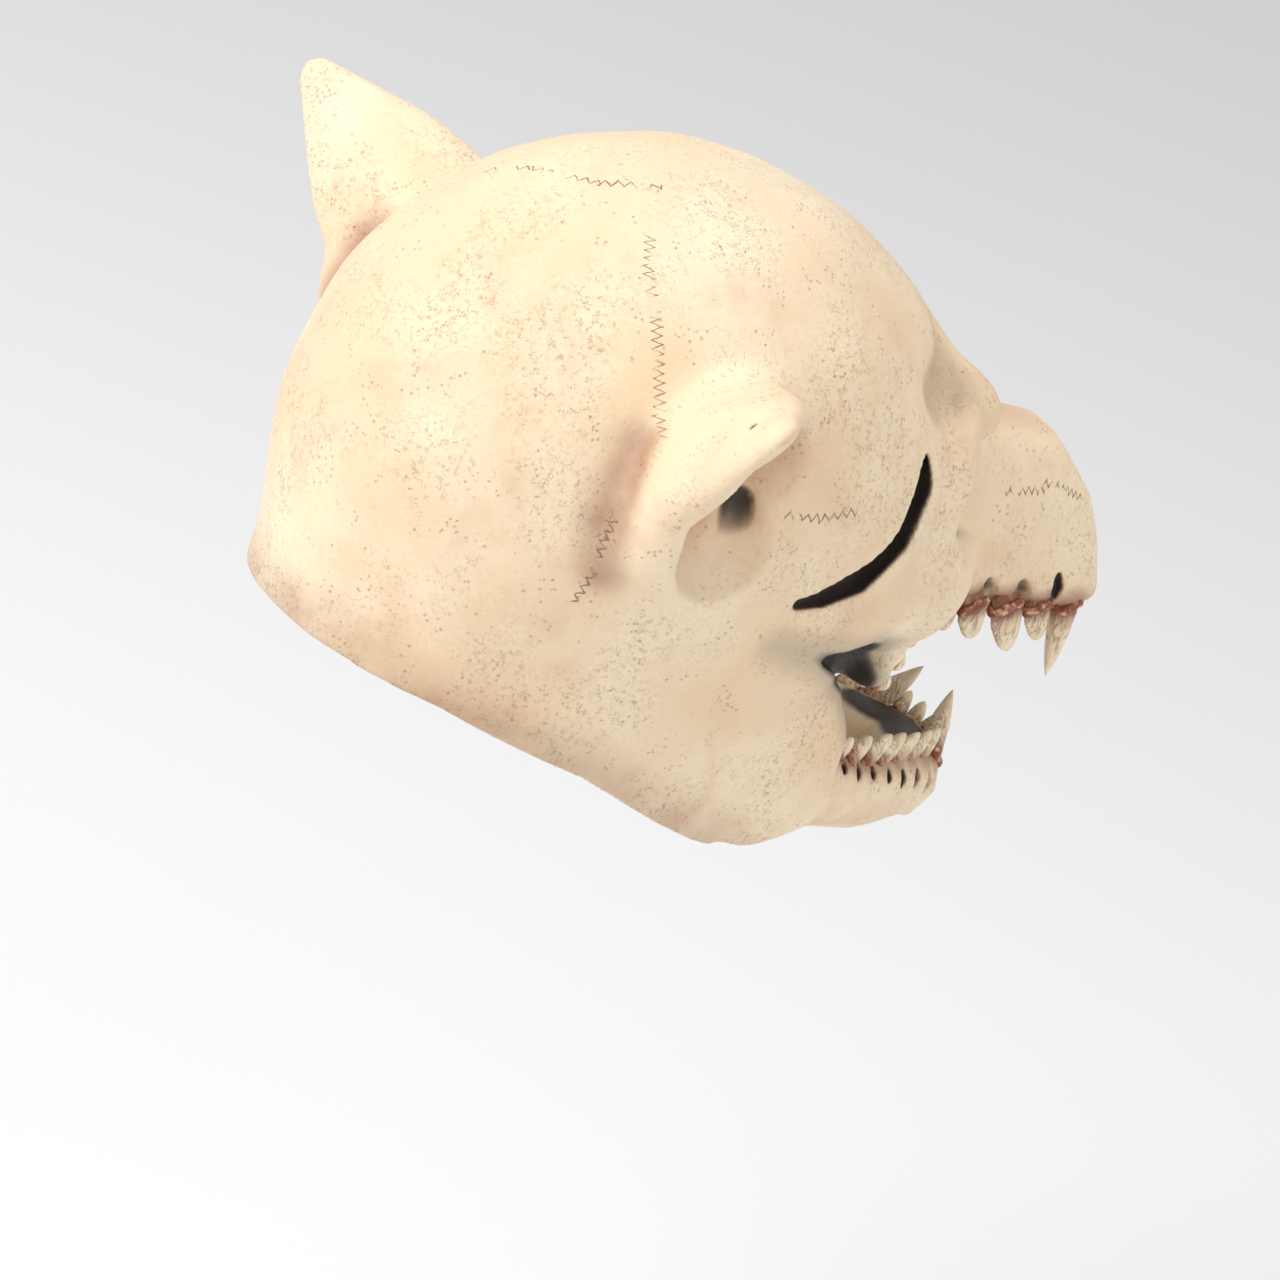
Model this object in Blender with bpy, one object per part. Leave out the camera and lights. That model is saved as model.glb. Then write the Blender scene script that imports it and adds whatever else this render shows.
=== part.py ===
"""Dog skull mask: a full-head hood of cast latex with its teeth seated in the gums.

Metres, +Z up. The mask is upright and faces -Y; the wearer's right is -X. The world origin is the
inner crown, where the mask sits on the head. Places below are measured from the middle of the
cranium: side is outward, fore is towards the muzzle, and up and drop are above and below.
"""
import math
from collections import namedtuple

import bmesh
import bpy
from mathutils import Matrix, Vector

# Cranium
HEAD_WIDTH = 0.210
HEAD_LENGTH = 0.262
HEAD_HEIGHT = 0.227
WALL = 0.003

# Neck skirt and its slanted hem
NECK_WIDTH = 0.184
NECK_LENGTH = 0.208
HEM_BACK_DROP = 0.070
HEM_FRONT_DROP = 0.147

# Muzzle and upper gum
MUZZLE_REACH = 0.232
MUZZLE_WIDTH = 0.076
MUZZLE_TOP = 0.020
GUM_DROP = 0.050
GUM_THICKNESS = 0.012
GUM_RIDGE_RADIUS = 0.007

# Lower jaw
JAW_REACH = 0.178
JAW_WIDTH = 0.104
JAW_DROP = 0.127
JAW_RADIUS = 0.015

# Mouth, throat, eyes and nose
MOUTH_BACK = 0.066
THROAT_WIDTH = 0.060
THROAT_HEIGHT = 0.036
SOCKET_RADIUS = 0.021
EYE_HOLE_RADIUS = 0.011
NOSE_WIDTH = 0.028
NOSE_HEIGHT = 0.050
NOSE_DEPTH = 0.044

# Orbital bar, cheekbone and the grooves beside them
BAR_RADIUS = 0.0085
CHEEK_RADIUS = 0.016
GROOVE_RADIUS = 0.0095
RECESS_RADIUS = 0.009

# Ears
EAR_LENGTH = 0.082
EAR_WIDTH = 0.078
EAR_DEPTH = 0.025
EAR_WALL = 0.005
EAR_RISE = 37.0
EAR_SPLAY = 34.0
EAR_FACING = (0.70, -0.50, -0.42)

# Teeth
CANINE_LENGTH = 0.031
CANINE_WIDTH = 0.012
CANINE_THICKNESS = 0.010
LOWER_CANINE_LENGTH = 0.027
LOWER_CANINE_WIDTH = 0.011
CHEEK_TOOTH_LENGTH = 0.019
CHEEK_TOOTH_WIDTH = 0.014
CHEEK_TOOTH_THICKNESS = 0.0075
INCISOR_LENGTH = 0.012
INCISOR_WIDTH = 0.0066
ROOT_DEPTH = 0.0060
SEAT_GAP = 0.0003

# Mesh fineness
CLAY_GRAIN = 0.0040
SKIN_GRAIN = 0.0036
SKIN_KEEP = 0.0735
CAVITY_KEEP = 0.045
TOOTH_SIDES = 6

HALF = Vector((HEAD_WIDTH / 2, HEAD_LENGTH / 2, HEAD_HEIGHT / 2))

Ball = namedtuple("Ball", "side fore up across along tall yaw")
Rod = namedtuple("Rod", "side fore up radius")
Row = namedtuple("Row", "fore half top low")
Ring = namedtuple("Ring", "drop half back length")
Leaf = namedtuple("Leaf", "share half depth lean")
Hem = namedtuple("Hem", "back drop")
Gum = namedtuple("Gum", "side fore drop")
Tooth = namedtuple("Tooth", "name place length width thickness forward outward bend")

# Cranium, brow and forehead: places and radii are shares of half the head's width, length and height
BALLS = (
    Ball(0.000, 0.027, 0.000, 1.000, 1.000, 1.000, 0),
    Ball(0.333, 0.817, 0.335, 0.248, 0.153, 0.141, 25),
    Ball(0.000, 0.794, 0.352, 0.248, 0.153, 0.176, 0),
)

# Rods on the head: places are shares of its half sizes, radii of the rod's own named radius
ORBITAL_BAR = (
    Rod(0.438, 0.809, 0.405, 0.94),
    Rod(0.571, 0.748, 0.423, 0.94),
    Rod(0.686, 0.702, 0.238, 1.00),
    Rod(0.667, 0.725, 0.000, 1.00),
    Rod(0.629, 0.794, -0.159, 1.30),
)
INNER_RIM = (
    Rod(0.267, 0.870, 0.300, 0.94),
    Rod(0.238, 0.962, 0.106, 0.82),
    Rod(0.324, 0.977, -0.123, 1.18),
)
CHEEKBONE = (
    Rod(0.876, -0.030, -0.141, 0.44),
    Rod(0.838, 0.008, -0.167, 0.62),
    Rod(0.781, 0.382, -0.211, 0.81),
    Rod(0.610, 0.794, -0.176, 1.00),
    Rod(0.457, 0.947, -0.159, 0.88),
)
CHEEK_FRONT = (
    Rod(0.610, 0.763, -0.282, 0.81),
    Rod(0.495, 0.809, -0.441, 0.56),
    Rod(0.514, 0.771, -0.546, 0.50),
)
GROOVE = (
    Rod(0.648, 0.366, 0.458, 0.42),
    Rod(0.714, 0.489, 0.352, 0.63),
    Rod(0.762, 0.504, 0.211, 0.89),
    Rod(0.810, 0.443, 0.079, 1.00),
    Rod(0.876, 0.321, -0.026, 0.84),
    Rod(0.933, 0.183, -0.079, 0.53),
    Rod(0.971, 0.092, -0.097, 0.21),
)
RECESS = (
    Rod(0.895, 0.061, -0.229, 0.33),
    Rod(0.838, 0.260, -0.282, 0.67),
    Rod(0.743, 0.489, -0.370, 1.00),
    Rod(0.629, 0.641, -0.493, 1.00),
    Rod(0.571, 0.702, -0.661, 1.00),
)

# Jaw rods: places are shares of the jaw's width, reach and drop, radii of its own radius
JAW = (
    Rod(0.596, 0.258, -0.520, 0.87),
    Rod(0.596, 0.337, -0.724, 1.13),
    Rod(0.500, 0.461, -0.866, 1.07),
    Rod(0.365, 0.685, -0.937, 1.00),
    Rod(0.212, 0.910, -0.992, 1.00),
    Rod(0.000, 1.000, -1.000, 1.00),
)
JAW_BRIDGE = (
    Rod(0.423, 0.371, -0.882, 0.73),
    Rod(0.192, 0.472, -0.929, 0.60),
    Rod(0.000, 0.506, -0.945, 0.60),
)

# Floor of the mouth between the jaw rods: fore, half, top and low are shares of the jaw's reach, width and drop
MOUTH_FLOOR = (
    Row(1.000, 0.06, 1.000, 1.085),
    Row(0.910, 0.19, 0.990, 1.080),
    Row(0.690, 0.34, 0.965, 1.045),
    Row(0.506, 0.44, 0.935, 1.010),
    Row(0.400, 0.42, 0.910, 0.990),
)

# Muzzle: fore of its reach, half of half its width, top of its top, low of the gum's drop
MUZZLE = (
    Row(1.000, 0.790, -1.40, 1.00),
    Row(0.940, 0.880, -0.20, 1.10),
    Row(0.853, 0.920, 0.65, 1.08),
    Row(0.733, 0.950, 0.85, 1.02),
    Row(0.603, 1.050, 1.00, 0.98),
    Row(0.474, 1.211, 1.30, 0.96),
    Row(0.259, 1.474, 1.40, 0.96),
)
MUZZLE_POWER = 4.0
MUZZLE_TOP_SHARE = 0.50

# Mouth: fore of the muzzle's reach, half of half its width, top of the gum's drop, low of the jaw's drop
MOUTH = (
    Row(1.290, 1.58, 1.12, 1.260),
    Row(1.030, 1.05, 1.20, 0.898),
    Row(0.820, 0.63, 1.08, 0.898),
    Row(0.647, 0.74, 1.00, 0.866),
    Row(0.474, 1.00, 0.96, 0.803),
    Row(0.284, 1.10, 1.04, 0.756),
)
MOUTH_POWER = 3.0

# Neck: drop of the front hem's drop, the rest of half the neck's width and length
NECK = (
    Ring(0.000, 0.870, 0.096, 0.865),
    Ring(0.205, 0.985, 0.165, 0.975),
    Ring(0.310, 0.995, 0.175, 0.995),
    Ring(0.479, 1.000, 0.190, 1.015),
    Ring(0.753, 0.891, 0.077, 0.846),
    Ring(1.027, 0.739, -0.077, 0.673),
    Ring(1.160, 0.700, -0.115, 0.615),
)

# Hem seen from the side: back of half the head's length, drop from the back hem's to the front hem's
HEM = (
    Hem(1.220, -0.02),
    Hem(0.947, 0.00),
    Hem(0.725, 0.06),
    Hem(0.313, 0.28),
    Hem(-0.229, 0.71),
    Hem(-0.450, 0.88),
    Hem(-0.611, 1.00),
    Hem(-0.763, 1.25),
    Hem(-1.500, 1.60),
)

# Ear: share of its length, then of half its width and of its depth, and its lean to the cup's side in depths
EAR = (
    Leaf(-0.50, 0.92, 1.04, -0.44),
    Leaf(0.00, 1.00, 1.00, -0.28),
    Leaf(0.30, 0.82, 0.80, -0.08),
    Leaf(0.60, 0.54, 0.54, 0.16),
    Leaf(0.85, 0.29, 0.34, 0.32),
    Leaf(1.00, 0.13, 0.20, 0.40),
)
EAR_ROOT = (0.886, -0.244, 0.291)
EAR_FACE_SHARE = 0.55
SOCKET_PLACE = (0.467, 0.947, 0.106)
EYE_HOLE_BACK = (0.380, 0.600, 0.106)
LOBE_PLACE = (0.08, 0.09, -0.27)
LOBE_RADII = (0.22, 0.37, 0.31)
BOWL_PLACE = (0.31, -0.03, -0.29)
BOWL_RADII = (0.23, 0.32, 0.27)

# Gum lines from the front middle back: side of half the muzzle's width (or of the jaw's width),
# fore of the muzzle's (or jaw's) reach, drop of the gum's (or jaw's) drop
UPPER_GUM = (
    Gum(0.000, 0.982, 1.00),
    Gum(0.342, 0.976, 1.00),
    Gum(0.579, 0.952, 1.01),
    Gum(0.684, 0.922, 1.02),
    Gum(0.737, 0.858, 1.02),
    Gum(0.763, 0.784, 1.00),
    Gum(0.816, 0.703, 0.97),
    Gum(0.921, 0.634, 0.92),
    Gum(1.079, 0.573, 0.89),
    Gum(1.211, 0.534, 0.91),
    Gum(1.316, 0.507, 1.02),
    Gum(1.368, 0.484, 1.18),
    Gum(1.421, 0.459, 1.36),
)
LOWER_GUM = (
    Gum(0.000, 1.056, 0.929),
    Gum(0.115, 1.039, 0.929),
    Gum(0.212, 0.983, 0.929),
    Gum(0.279, 0.905, 0.913),
    Gum(0.346, 0.810, 0.886),
    Gum(0.413, 0.715, 0.854),
    Gum(0.471, 0.620, 0.811),
    Gum(0.519, 0.525, 0.764),
)

# Teeth: place along the gum line, then shares of the named tooth sizes, leans in degrees, bend of the length
UPPER_CANINE = Tooth("canine", 0.197, 1.00, 1.00, 1.00, 6, 3, -0.10)
LOWER_CANINE = Tooth("canine", 0.204, 1.00, 1.00, 1.00, 44, 4, -0.12)
UPPER_INCISORS = (
    Tooth("incisor_1", 0.027, 0.80, 1.00, 1.00, 0, 8, 0.0),
    Tooth("incisor_2", 0.079, 0.88, 1.00, 1.00, 0, 8, 0.0),
    Tooth("incisor_3", 0.131, 1.00, 1.00, 1.00, 0, 8, 0.0),
)
LOWER_INCISORS = (
    Tooth("incisor_1", 0.034, 0.85, 0.92, 1.00, 0, 30, 0.0),
    Tooth("incisor_2", 0.098, 0.92, 0.92, 1.00, 0, 30, 0.0),
)
UPPER_CHEEK_TEETH = (
    Tooth("premolar_1", 0.301, 0.78, 0.82, 1.00, 22, 5, 0.0),
    Tooth("premolar_2", 0.410, 1.05, 1.00, 1.10, 24, 6, 0.0),
    Tooth("premolar_3", 0.532, 0.78, 0.93, 1.05, 22, 6, 0.0),
    Tooth("premolar_4", 0.641, 0.62, 0.86, 1.00, 20, 6, 0.0),
    Tooth("molar_1", 0.769, 0.52, 0.79, 1.00, 16, 8, 0.0),
    Tooth("molar_2", 0.852, 0.52, 0.71, 1.00, 10, 10, 0.0),
    Tooth("molar_3", 0.929, 0.48, 0.64, 0.90, 4, 12, 0.0),
    Tooth("molar_4", 0.988, 0.44, 0.58, 0.85, 0, 12, 0.0),
)
LOWER_CHEEK_TEETH = (
    Tooth("premolar_1", 0.322, 0.84, 0.68, 0.90, 37, 8, 0.0),
    Tooth("premolar_2", 0.424, 0.90, 0.66, 0.90, 37, 10, 0.0),
    Tooth("premolar_3", 0.530, 0.92, 0.66, 0.90, 37, 12, 0.0),
    Tooth("premolar_4", 0.630, 0.88, 0.72, 1.00, 36, 12, 0.0),
    Tooth("molar_1", 0.735, 0.84, 0.72, 1.00, 34, 12, 0.0),
    Tooth("molar_2", 0.838, 0.66, 0.68, 1.00, 32, 12, 0.0),
    Tooth("molar_3", 0.932, 0.50, 0.60, 0.90, 30, 12, 0.0),
)

# Tooth outline: height of the crown (below zero: of the root), then share of the half width and thickness
CONE = ((-1.0, 0.70), (0.0, 1.0), (0.36, 0.93), (0.74, 0.52), (1.0, 0.10))
SPADE = ((-1.0, 0.72), (0.0, 0.94), (0.40, 1.0), (0.78, 0.72), (1.0, 0.24))

BONE = (0.74, 0.60, 0.41, 1.0)
IVORY = (0.76, 0.63, 0.45, 1.0)


def clear_scene():
    """Removes every object that the file opens with."""
    for old in list(bpy.data.objects):
        bpy.data.objects.remove(old)


def material(name, colour, roughness):
    """A plain coloured finish."""
    made = bpy.data.materials.new(name)
    made.use_nodes = True
    shader = made.node_tree.nodes["Principled BSDF"]
    shader.inputs["Base Color"].default_value = colour
    shader.inputs["Roughness"].default_value = roughness
    shader.inputs["Metallic"].default_value = 0.0
    return made


def object_from(bm, name, parent):
    """Turns a bmesh into a named object under the mask's empty."""
    bmesh.ops.recalc_face_normals(bm, faces=bm.faces)
    mesh = bpy.data.meshes.new(name)
    bm.to_mesh(mesh)
    bm.free()
    made = bpy.data.objects.new(name, mesh)
    bpy.context.collection.objects.link(made)
    made.parent = parent
    return made


def as_guide(made):
    """Marks a cutter, which shapes its neighbours and is no piece of its own."""
    made.hide_render = True
    made.display_type = "WIRE"
    return made


def head_place(side, fore, up, sign=1):
    """A place on the head from shares of its half sizes."""
    return Vector((sign * side * HALF.x, -fore * HALF.y, up * HALF.z))


def jaw_place(side, fore, up, sign=1):
    """A place on the lower jaw from shares of its width, reach and drop."""
    return Vector((sign * side * JAW_WIDTH, -fore * JAW_REACH, up * JAW_DROP))


def add_ball(bm, centre, radii, yaw=0.0):
    """Adds an ellipsoid, turned about the upright axis."""
    turn = Matrix.Rotation(math.radians(yaw), 4, "Z")
    size = Matrix.Diagonal((*radii, 1.0))
    bmesh.ops.create_uvsphere(
        bm, u_segments=40, v_segments=24, radius=1.0, matrix=Matrix.Translation(centre) @ turn @ size
    )


def add_rods(bm, centres, radii):
    """Adds a chain of tapered rods with a ball at each joint."""
    for centre, radius in zip(centres, radii):
        bmesh.ops.create_icosphere(bm, subdivisions=3, radius=radius, matrix=Matrix.Translation(centre))
    for start, end, first, last in zip(centres, centres[1:], radii, radii[1:]):
        along = end - start
        turn = along.to_track_quat("Z", "Y").to_matrix().to_4x4()
        bmesh.ops.create_cone(
            bm, cap_ends=True, segments=24, radius1=first, radius2=last, depth=along.length,
            matrix=Matrix.Translation((start + end) / 2) @ turn
        )


def add_loft(bm, rings):
    """Skins a list of rings of equal count and closes both ends."""
    loops = [[bm.verts.new(point) for point in ring] for ring in rings]
    for lower, upper in zip(loops, loops[1:]):
        for i in range(len(lower)):
            j = (i + 1) % len(lower)
            bm.faces.new((lower[i], lower[j], upper[j], upper[i]))
    bm.faces.new(loops[0])
    bm.faces.new(loops[-1])


def rounded(angle, power):
    """A point on a rounded square of half size one; a power of two gives a circle."""
    c = math.cos(angle)
    s = math.sin(angle)
    return (math.copysign(abs(c) ** (2 / power), c), math.copysign(abs(s) ** (2 / power), s))


def box_rings(rows, reach, half_width, top_size, low_size, power, top_share, grow, floor=0.0, back=None):
    """Rings across the muzzle or mouth, each a rounded box between its top and its low edge."""
    rings = []
    for row in rows:
        y = -row.fore * reach
        if back is not None and row is rows[-1]:
            y = -back + grow
        if row is rows[0]:
            y -= grow
        half = row.half * half_width + grow
        top = row.top * top_size + grow
        low = -row.low * low_size - grow + floor
        ring = []
        for i in range(32):
            u, v = rounded(2 * math.pi * i / 32, power)
            narrow = 1 - (1 - top_share) * (v + 1) / 2
            ring.append(Vector((u * half * narrow, y, (top + low) / 2 + v * (top - low) / 2)))
        rings.append(ring)
    return rings


def neck_rings(grow):
    """Level ellipses down the neck skirt, from inside the cranium to below the hem."""
    rings = []
    for ring in NECK:
        half = ring.half * NECK_WIDTH / 2 + grow
        length = ring.length * NECK_LENGTH / 2 + grow
        back = ring.back * NECK_LENGTH / 2
        z = -ring.drop * HEM_FRONT_DROP
        rings.append([
            Vector((half * math.cos(a), back + length * math.sin(a), z))
            for a in (2 * math.pi * i / 56 for i in range(56))
        ])
    return rings


def ear_frame(sign):
    """The ear's root and its three directions: along it, across it, and the way that its cup faces."""
    root = head_place(*EAR_ROOT, sign)
    rise = math.radians(EAR_RISE)
    splay = math.radians(EAR_SPLAY)
    along = Vector((sign * math.cos(rise) * math.cos(splay), math.cos(rise) * math.sin(splay), math.sin(rise)))
    facing = Vector((sign * EAR_FACING[0], EAR_FACING[1], EAR_FACING[2]))
    facing = (facing - along * facing.dot(along)).normalized()
    return root, along, along.cross(facing), facing


def ear_rings(sign):
    """Half-moon rings of the ear's outer form, flat on the side that its cup faces."""
    root, along, across, facing = ear_frame(sign)
    rings = []
    for leaf in EAR:
        middle = root + along * (leaf.share * EAR_LENGTH) + facing * (leaf.lean * EAR_DEPTH)
        ring = []
        for i in range(28):
            a = 2 * math.pi * i / 28
            side = across * (leaf.half * EAR_WIDTH / 2 * math.cos(a))
            out = facing * (leaf.depth * EAR_DEPTH * min(math.sin(a), EAR_FACE_SHARE))
            ring.append(middle + side + out)
        rings.append(ring)
    return rings


def cup_rings(sign):
    """Rings of the hollow in the ear, one ear wall inside its edge and open to the front."""
    root, along, across, facing = ear_frame(sign)
    rings = []
    for leaf in EAR[1:-1]:
        half = max(leaf.half * EAR_WIDTH / 2 - EAR_WALL, EAR_WALL / 2)
        depth = leaf.depth * EAR_DEPTH * 1.45
        middle = root + along * (leaf.share * EAR_LENGTH) + facing * ((leaf.lean + leaf.depth * 0.9) * EAR_DEPTH)
        rings.append([
            middle + across * (half * math.cos(a)) + facing * (depth * math.sin(a))
            for a in (2 * math.pi * i / 28 for i in range(28))
        ])
    return rings


def ear_ball(bm, sign, place, radii):
    """Adds a ball placed and sized by the ear's width from its root."""
    root = ear_frame(sign)[0]
    centre = root + Vector((sign * place[0], place[1], place[2])) * EAR_WIDTH
    add_ball(bm, centre, [share * EAR_WIDTH for share in radii])


def head_rods(bm, rows, radius, sign, grow=0.0):
    """Adds one of the rod tables of the head on one side."""
    centres = [head_place(row.side, row.fore, row.up, sign) for row in rows]
    add_rods(bm, centres, [row.radius * radius + grow for row in rows])


def jaw_rods(bm, rows, radius, sign, sink=0.0):
    """Adds one of the rod tables of the lower jaw on one side."""
    down = Vector((0, 0, -sink))
    centres = [jaw_place(row.side, row.fore, row.up, sign) + down for row in rows]
    add_rods(bm, centres, [row.radius * radius for row in rows])


def head_balls(bm, grow):
    """Adds the ellipsoids of the cranium, brows and forehead."""
    for ball in BALLS:
        radii = (ball.across * HALF.x + grow, ball.along * HALF.y + grow, ball.tall * HALF.z + grow)
        for sign in (1, -1) if ball.side else (1,):
            add_ball(bm, head_place(ball.side, ball.fore, ball.up, sign), radii, sign * ball.yaw)


def smooth_clay(made, grain, rounds, keep=1.0):
    """Melts overlapping masses into one skin, relaxes it and thins its facets."""
    melt = made.modifiers.new("melt", "REMESH")
    melt.mode = "VOXEL"
    melt.voxel_size = grain
    melt.use_smooth_shade = True
    relax = made.modifiers.new("relax", "SMOOTH")
    relax.factor = 0.5
    relax.iterations = rounds
    if keep < 1.0:
        thin = made.modifiers.new("thin", "DECIMATE")
        thin.ratio = keep


def cut_with(made, guide, crossing=False):
    """Takes a guide's form away from an object; the guide's own bodies may cross."""
    cut = made.modifiers.new("cut_" + guide.name, "BOOLEAN")
    cut.operation = "DIFFERENCE"
    cut.solver = "EXACT"
    cut.use_self = crossing
    cut.object = guide


def build_hollows(name, grow, parent):
    """The recesses of the face: grooves, sockets, nose, mouth and ear cups, as one guide."""
    bm = bmesh.new()
    for sign in (1, -1):
        head_rods(bm, GROOVE, GROOVE_RADIUS, sign, grow)
        head_rods(bm, RECESS, RECESS_RADIUS, sign, grow)
        socket = head_place(*SOCKET_PLACE, sign)
        add_ball(bm, socket, [SOCKET_RADIUS + grow, SOCKET_RADIUS * 1.2 + grow, SOCKET_RADIUS + grow], sign * 25)
        if grow == 0.0:
            add_loft(bm, cup_rings(sign))
            ear_ball(bm, sign, BOWL_PLACE, BOWL_RADII)
    nose = Vector((0, -0.983 * MUZZLE_REACH, -0.3 * MUZZLE_TOP))
    add_ball(bm, nose, [NOSE_WIDTH / 2 + grow, NOSE_DEPTH / 2 + grow, NOSE_HEIGHT / 2 + grow])
    half = MUZZLE_WIDTH / 2
    mouth = [row._replace(top=-row.top) for row in MOUTH]
    add_loft(bm, box_rings(mouth, MUZZLE_REACH, half, GUM_DROP, JAW_DROP, MOUTH_POWER, 1.0, grow, back=MOUTH_BACK))
    made = as_guide(object_from(bm, name, parent))
    smooth_clay(made, CLAY_GRAIN, 2)
    return made


def build_cavity(wall_guide, parent):
    """The space inside the hood, one wall inside its outer form."""
    bm = bmesh.new()
    head_balls(bm, -WALL)
    add_loft(bm, neck_rings(-WALL))
    half = MUZZLE_WIDTH / 2
    add_loft(bm, box_rings(MUZZLE, MUZZLE_REACH, half, MUZZLE_TOP, GUM_DROP, MUZZLE_POWER, MUZZLE_TOP_SHARE,
                           -WALL, floor=GUM_THICKNESS - WALL))
    for sign in (1, -1):
        head_rods(bm, CHEEKBONE, CHEEK_RADIUS, sign, -WALL)
        jaw_rods(bm, JAW, JAW_RADIUS - 3 * WALL, sign, sink=WALL)
    made = as_guide(object_from(bm, "cavity_guide", parent))
    smooth_clay(made, CLAY_GRAIN, 4)
    cut_with(made, wall_guide)
    smooth_clay(made, SKIN_GRAIN, 1, CAVITY_KEEP)
    return made


def build_hem_guide(parent):
    """The slab below the hem, which trims the neck skirt to its slanted edge."""
    bm = bmesh.new()
    fall = HEM_FRONT_DROP - HEM_BACK_DROP
    edge = [(row.back * HALF.y, -HEM_BACK_DROP - row.drop * fall) for row in HEM]
    floor = -HEM_FRONT_DROP * 2
    outline = edge + [(edge[-1][0], floor), (edge[0][0], floor)]
    add_loft(bm, [[Vector((x, y, z)) for y, z in outline] for x in (-HEAD_WIDTH, HEAD_WIDTH)])
    return as_guide(object_from(bm, "hem_guide", parent))


def build_hole_guide(parent):
    """The eye holes at the back of the sockets, and the throat at the back of the mouth."""
    bm = bmesh.new()
    for sign in (1, -1):
        start = head_place(*SOCKET_PLACE, sign)
        end = head_place(*EYE_HOLE_BACK, sign)
        along = end - start
        bmesh.ops.create_cone(
            bm, cap_ends=True, segments=20, radius1=EYE_HOLE_RADIUS, radius2=EYE_HOLE_RADIUS, depth=along.length,
            matrix=Matrix.Translation((start + end) / 2) @ along.to_track_quat("Z", "Y").to_matrix().to_4x4()
        )
    middle = -(GUM_DROP * 1.04 + JAW_DROP * 0.756) / 2
    rings = []
    for y in (-MOUTH_BACK * 1.2, -MOUTH_BACK * 0.8):
        rings.append([
            Vector((THROAT_WIDTH / 2 * math.cos(a), y, middle + THROAT_HEIGHT / 2 * math.sin(a)))
            for a in (2 * math.pi * i / 28 for i in range(28))
        ])
    add_loft(bm, rings)
    return as_guide(object_from(bm, "hole_guide", parent))


def gum_points(rows, side_size, fore_size, drop_size, sign):
    """The corner points of a gum line on one side."""
    return [Vector((sign * row.side * side_size, -row.fore * fore_size, -row.drop * drop_size)) for row in rows]


def along_line(points, share):
    """The place and the backward direction at a share of a line's length."""
    lengths = [(b - a).length for a, b in zip(points, points[1:])]
    left = share * sum(lengths)
    for start, end, length in zip(points, points[1:], lengths):
        if left <= length or end is points[-1]:
            return start + (end - start) * (left / length), (end - start).normalized()
        left -= length


def tooth_rings(points, tooth, sizes, rise, sign, outline, grow):
    """Rings of one tooth from the foot of its root to the tip of its crown."""
    length, width, thickness = sizes
    place, backward = along_line(points, tooth.place)
    upright = Vector((0, 0, rise))
    upright = (upright - backward * upright.dot(backward)).normalized()
    outward = Vector((-backward.y, backward.x, 0)).normalized() * -sign
    forward = math.tan(math.radians(tooth.forward))
    lean_out = math.tan(math.radians(tooth.outward))
    axis = (upright - backward * forward + outward * lean_out).normalized()
    across = (backward - axis * backward.dot(axis)).normalized()
    through = axis.cross(across)
    rings = []
    for height, share in outline:
        reach = height * tooth.length * length if height > 0 else height * ROOT_DEPTH
        if height in (outline[0][0], outline[-1][0]):
            reach += math.copysign(grow, height)
        bend = across * (-tooth.bend * length * max(height, 0.0) ** 2)
        half_width = tooth.width * width / 2 * share + grow
        half_thickness = tooth.thickness * thickness / 2 * share + grow
        rings.append([
            place + axis * reach + bend + across * (half_width * math.cos(a)) + through * (half_thickness * math.sin(a))
            for a in (2 * math.pi * i / TOOTH_SIDES for i in range(TOOTH_SIDES))
        ])
    return rings


def all_teeth():
    """Yields every tooth: its name, gum line, row, sizes, direction of growth, side and outline."""
    canine = (CANINE_LENGTH, CANINE_WIDTH, CANINE_THICKNESS)
    lower_canine = (LOWER_CANINE_LENGTH, LOWER_CANINE_WIDTH, CANINE_THICKNESS)
    cheek = (CHEEK_TOOTH_LENGTH, CHEEK_TOOTH_WIDTH, CHEEK_TOOTH_THICKNESS)
    incisor = (INCISOR_LENGTH, INCISOR_WIDTH, INCISOR_WIDTH)
    upper = (
        ((UPPER_CANINE,), canine, CONE),
        (UPPER_INCISORS, incisor, CONE),
        (UPPER_CHEEK_TEETH, cheek, SPADE),
    )
    lower = (
        ((LOWER_CANINE,), lower_canine, CONE),
        (LOWER_INCISORS, incisor, CONE),
        (LOWER_CHEEK_TEETH, cheek, SPADE),
    )
    for sign, side in ((-1, "right"), (1, "left")):
        upper_line = gum_points(UPPER_GUM, MUZZLE_WIDTH / 2, MUZZLE_REACH, GUM_DROP, sign)
        lower_line = gum_points(LOWER_GUM, JAW_WIDTH, JAW_REACH, JAW_DROP, sign)
        for jaw, groups, line, rise in (("upper", upper, upper_line, -1), ("lower", lower, lower_line, 1)):
            for teeth, sizes, outline in groups:
                for tooth in teeth:
                    yield f"{jaw}_{tooth.name}_{side}", line, tooth, sizes, rise, sign, outline


def build_teeth(parent, finish):
    """Each tooth as a solid of its own, and the guide that cuts all their seats with the seat gap."""
    seats = bmesh.new()
    for name, line, tooth, sizes, rise, sign, outline in all_teeth():
        bm = bmesh.new()
        add_loft(bm, tooth_rings(line, tooth, sizes, rise, sign, outline, 0.0))
        made = object_from(bm, name, parent)
        made.data.shade_smooth()
        made.data.materials.append(finish)
        add_loft(seats, tooth_rings(line, tooth, sizes, rise, sign, outline, SEAT_GAP))
    return as_guide(object_from(seats, "seat_guide", parent))


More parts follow.
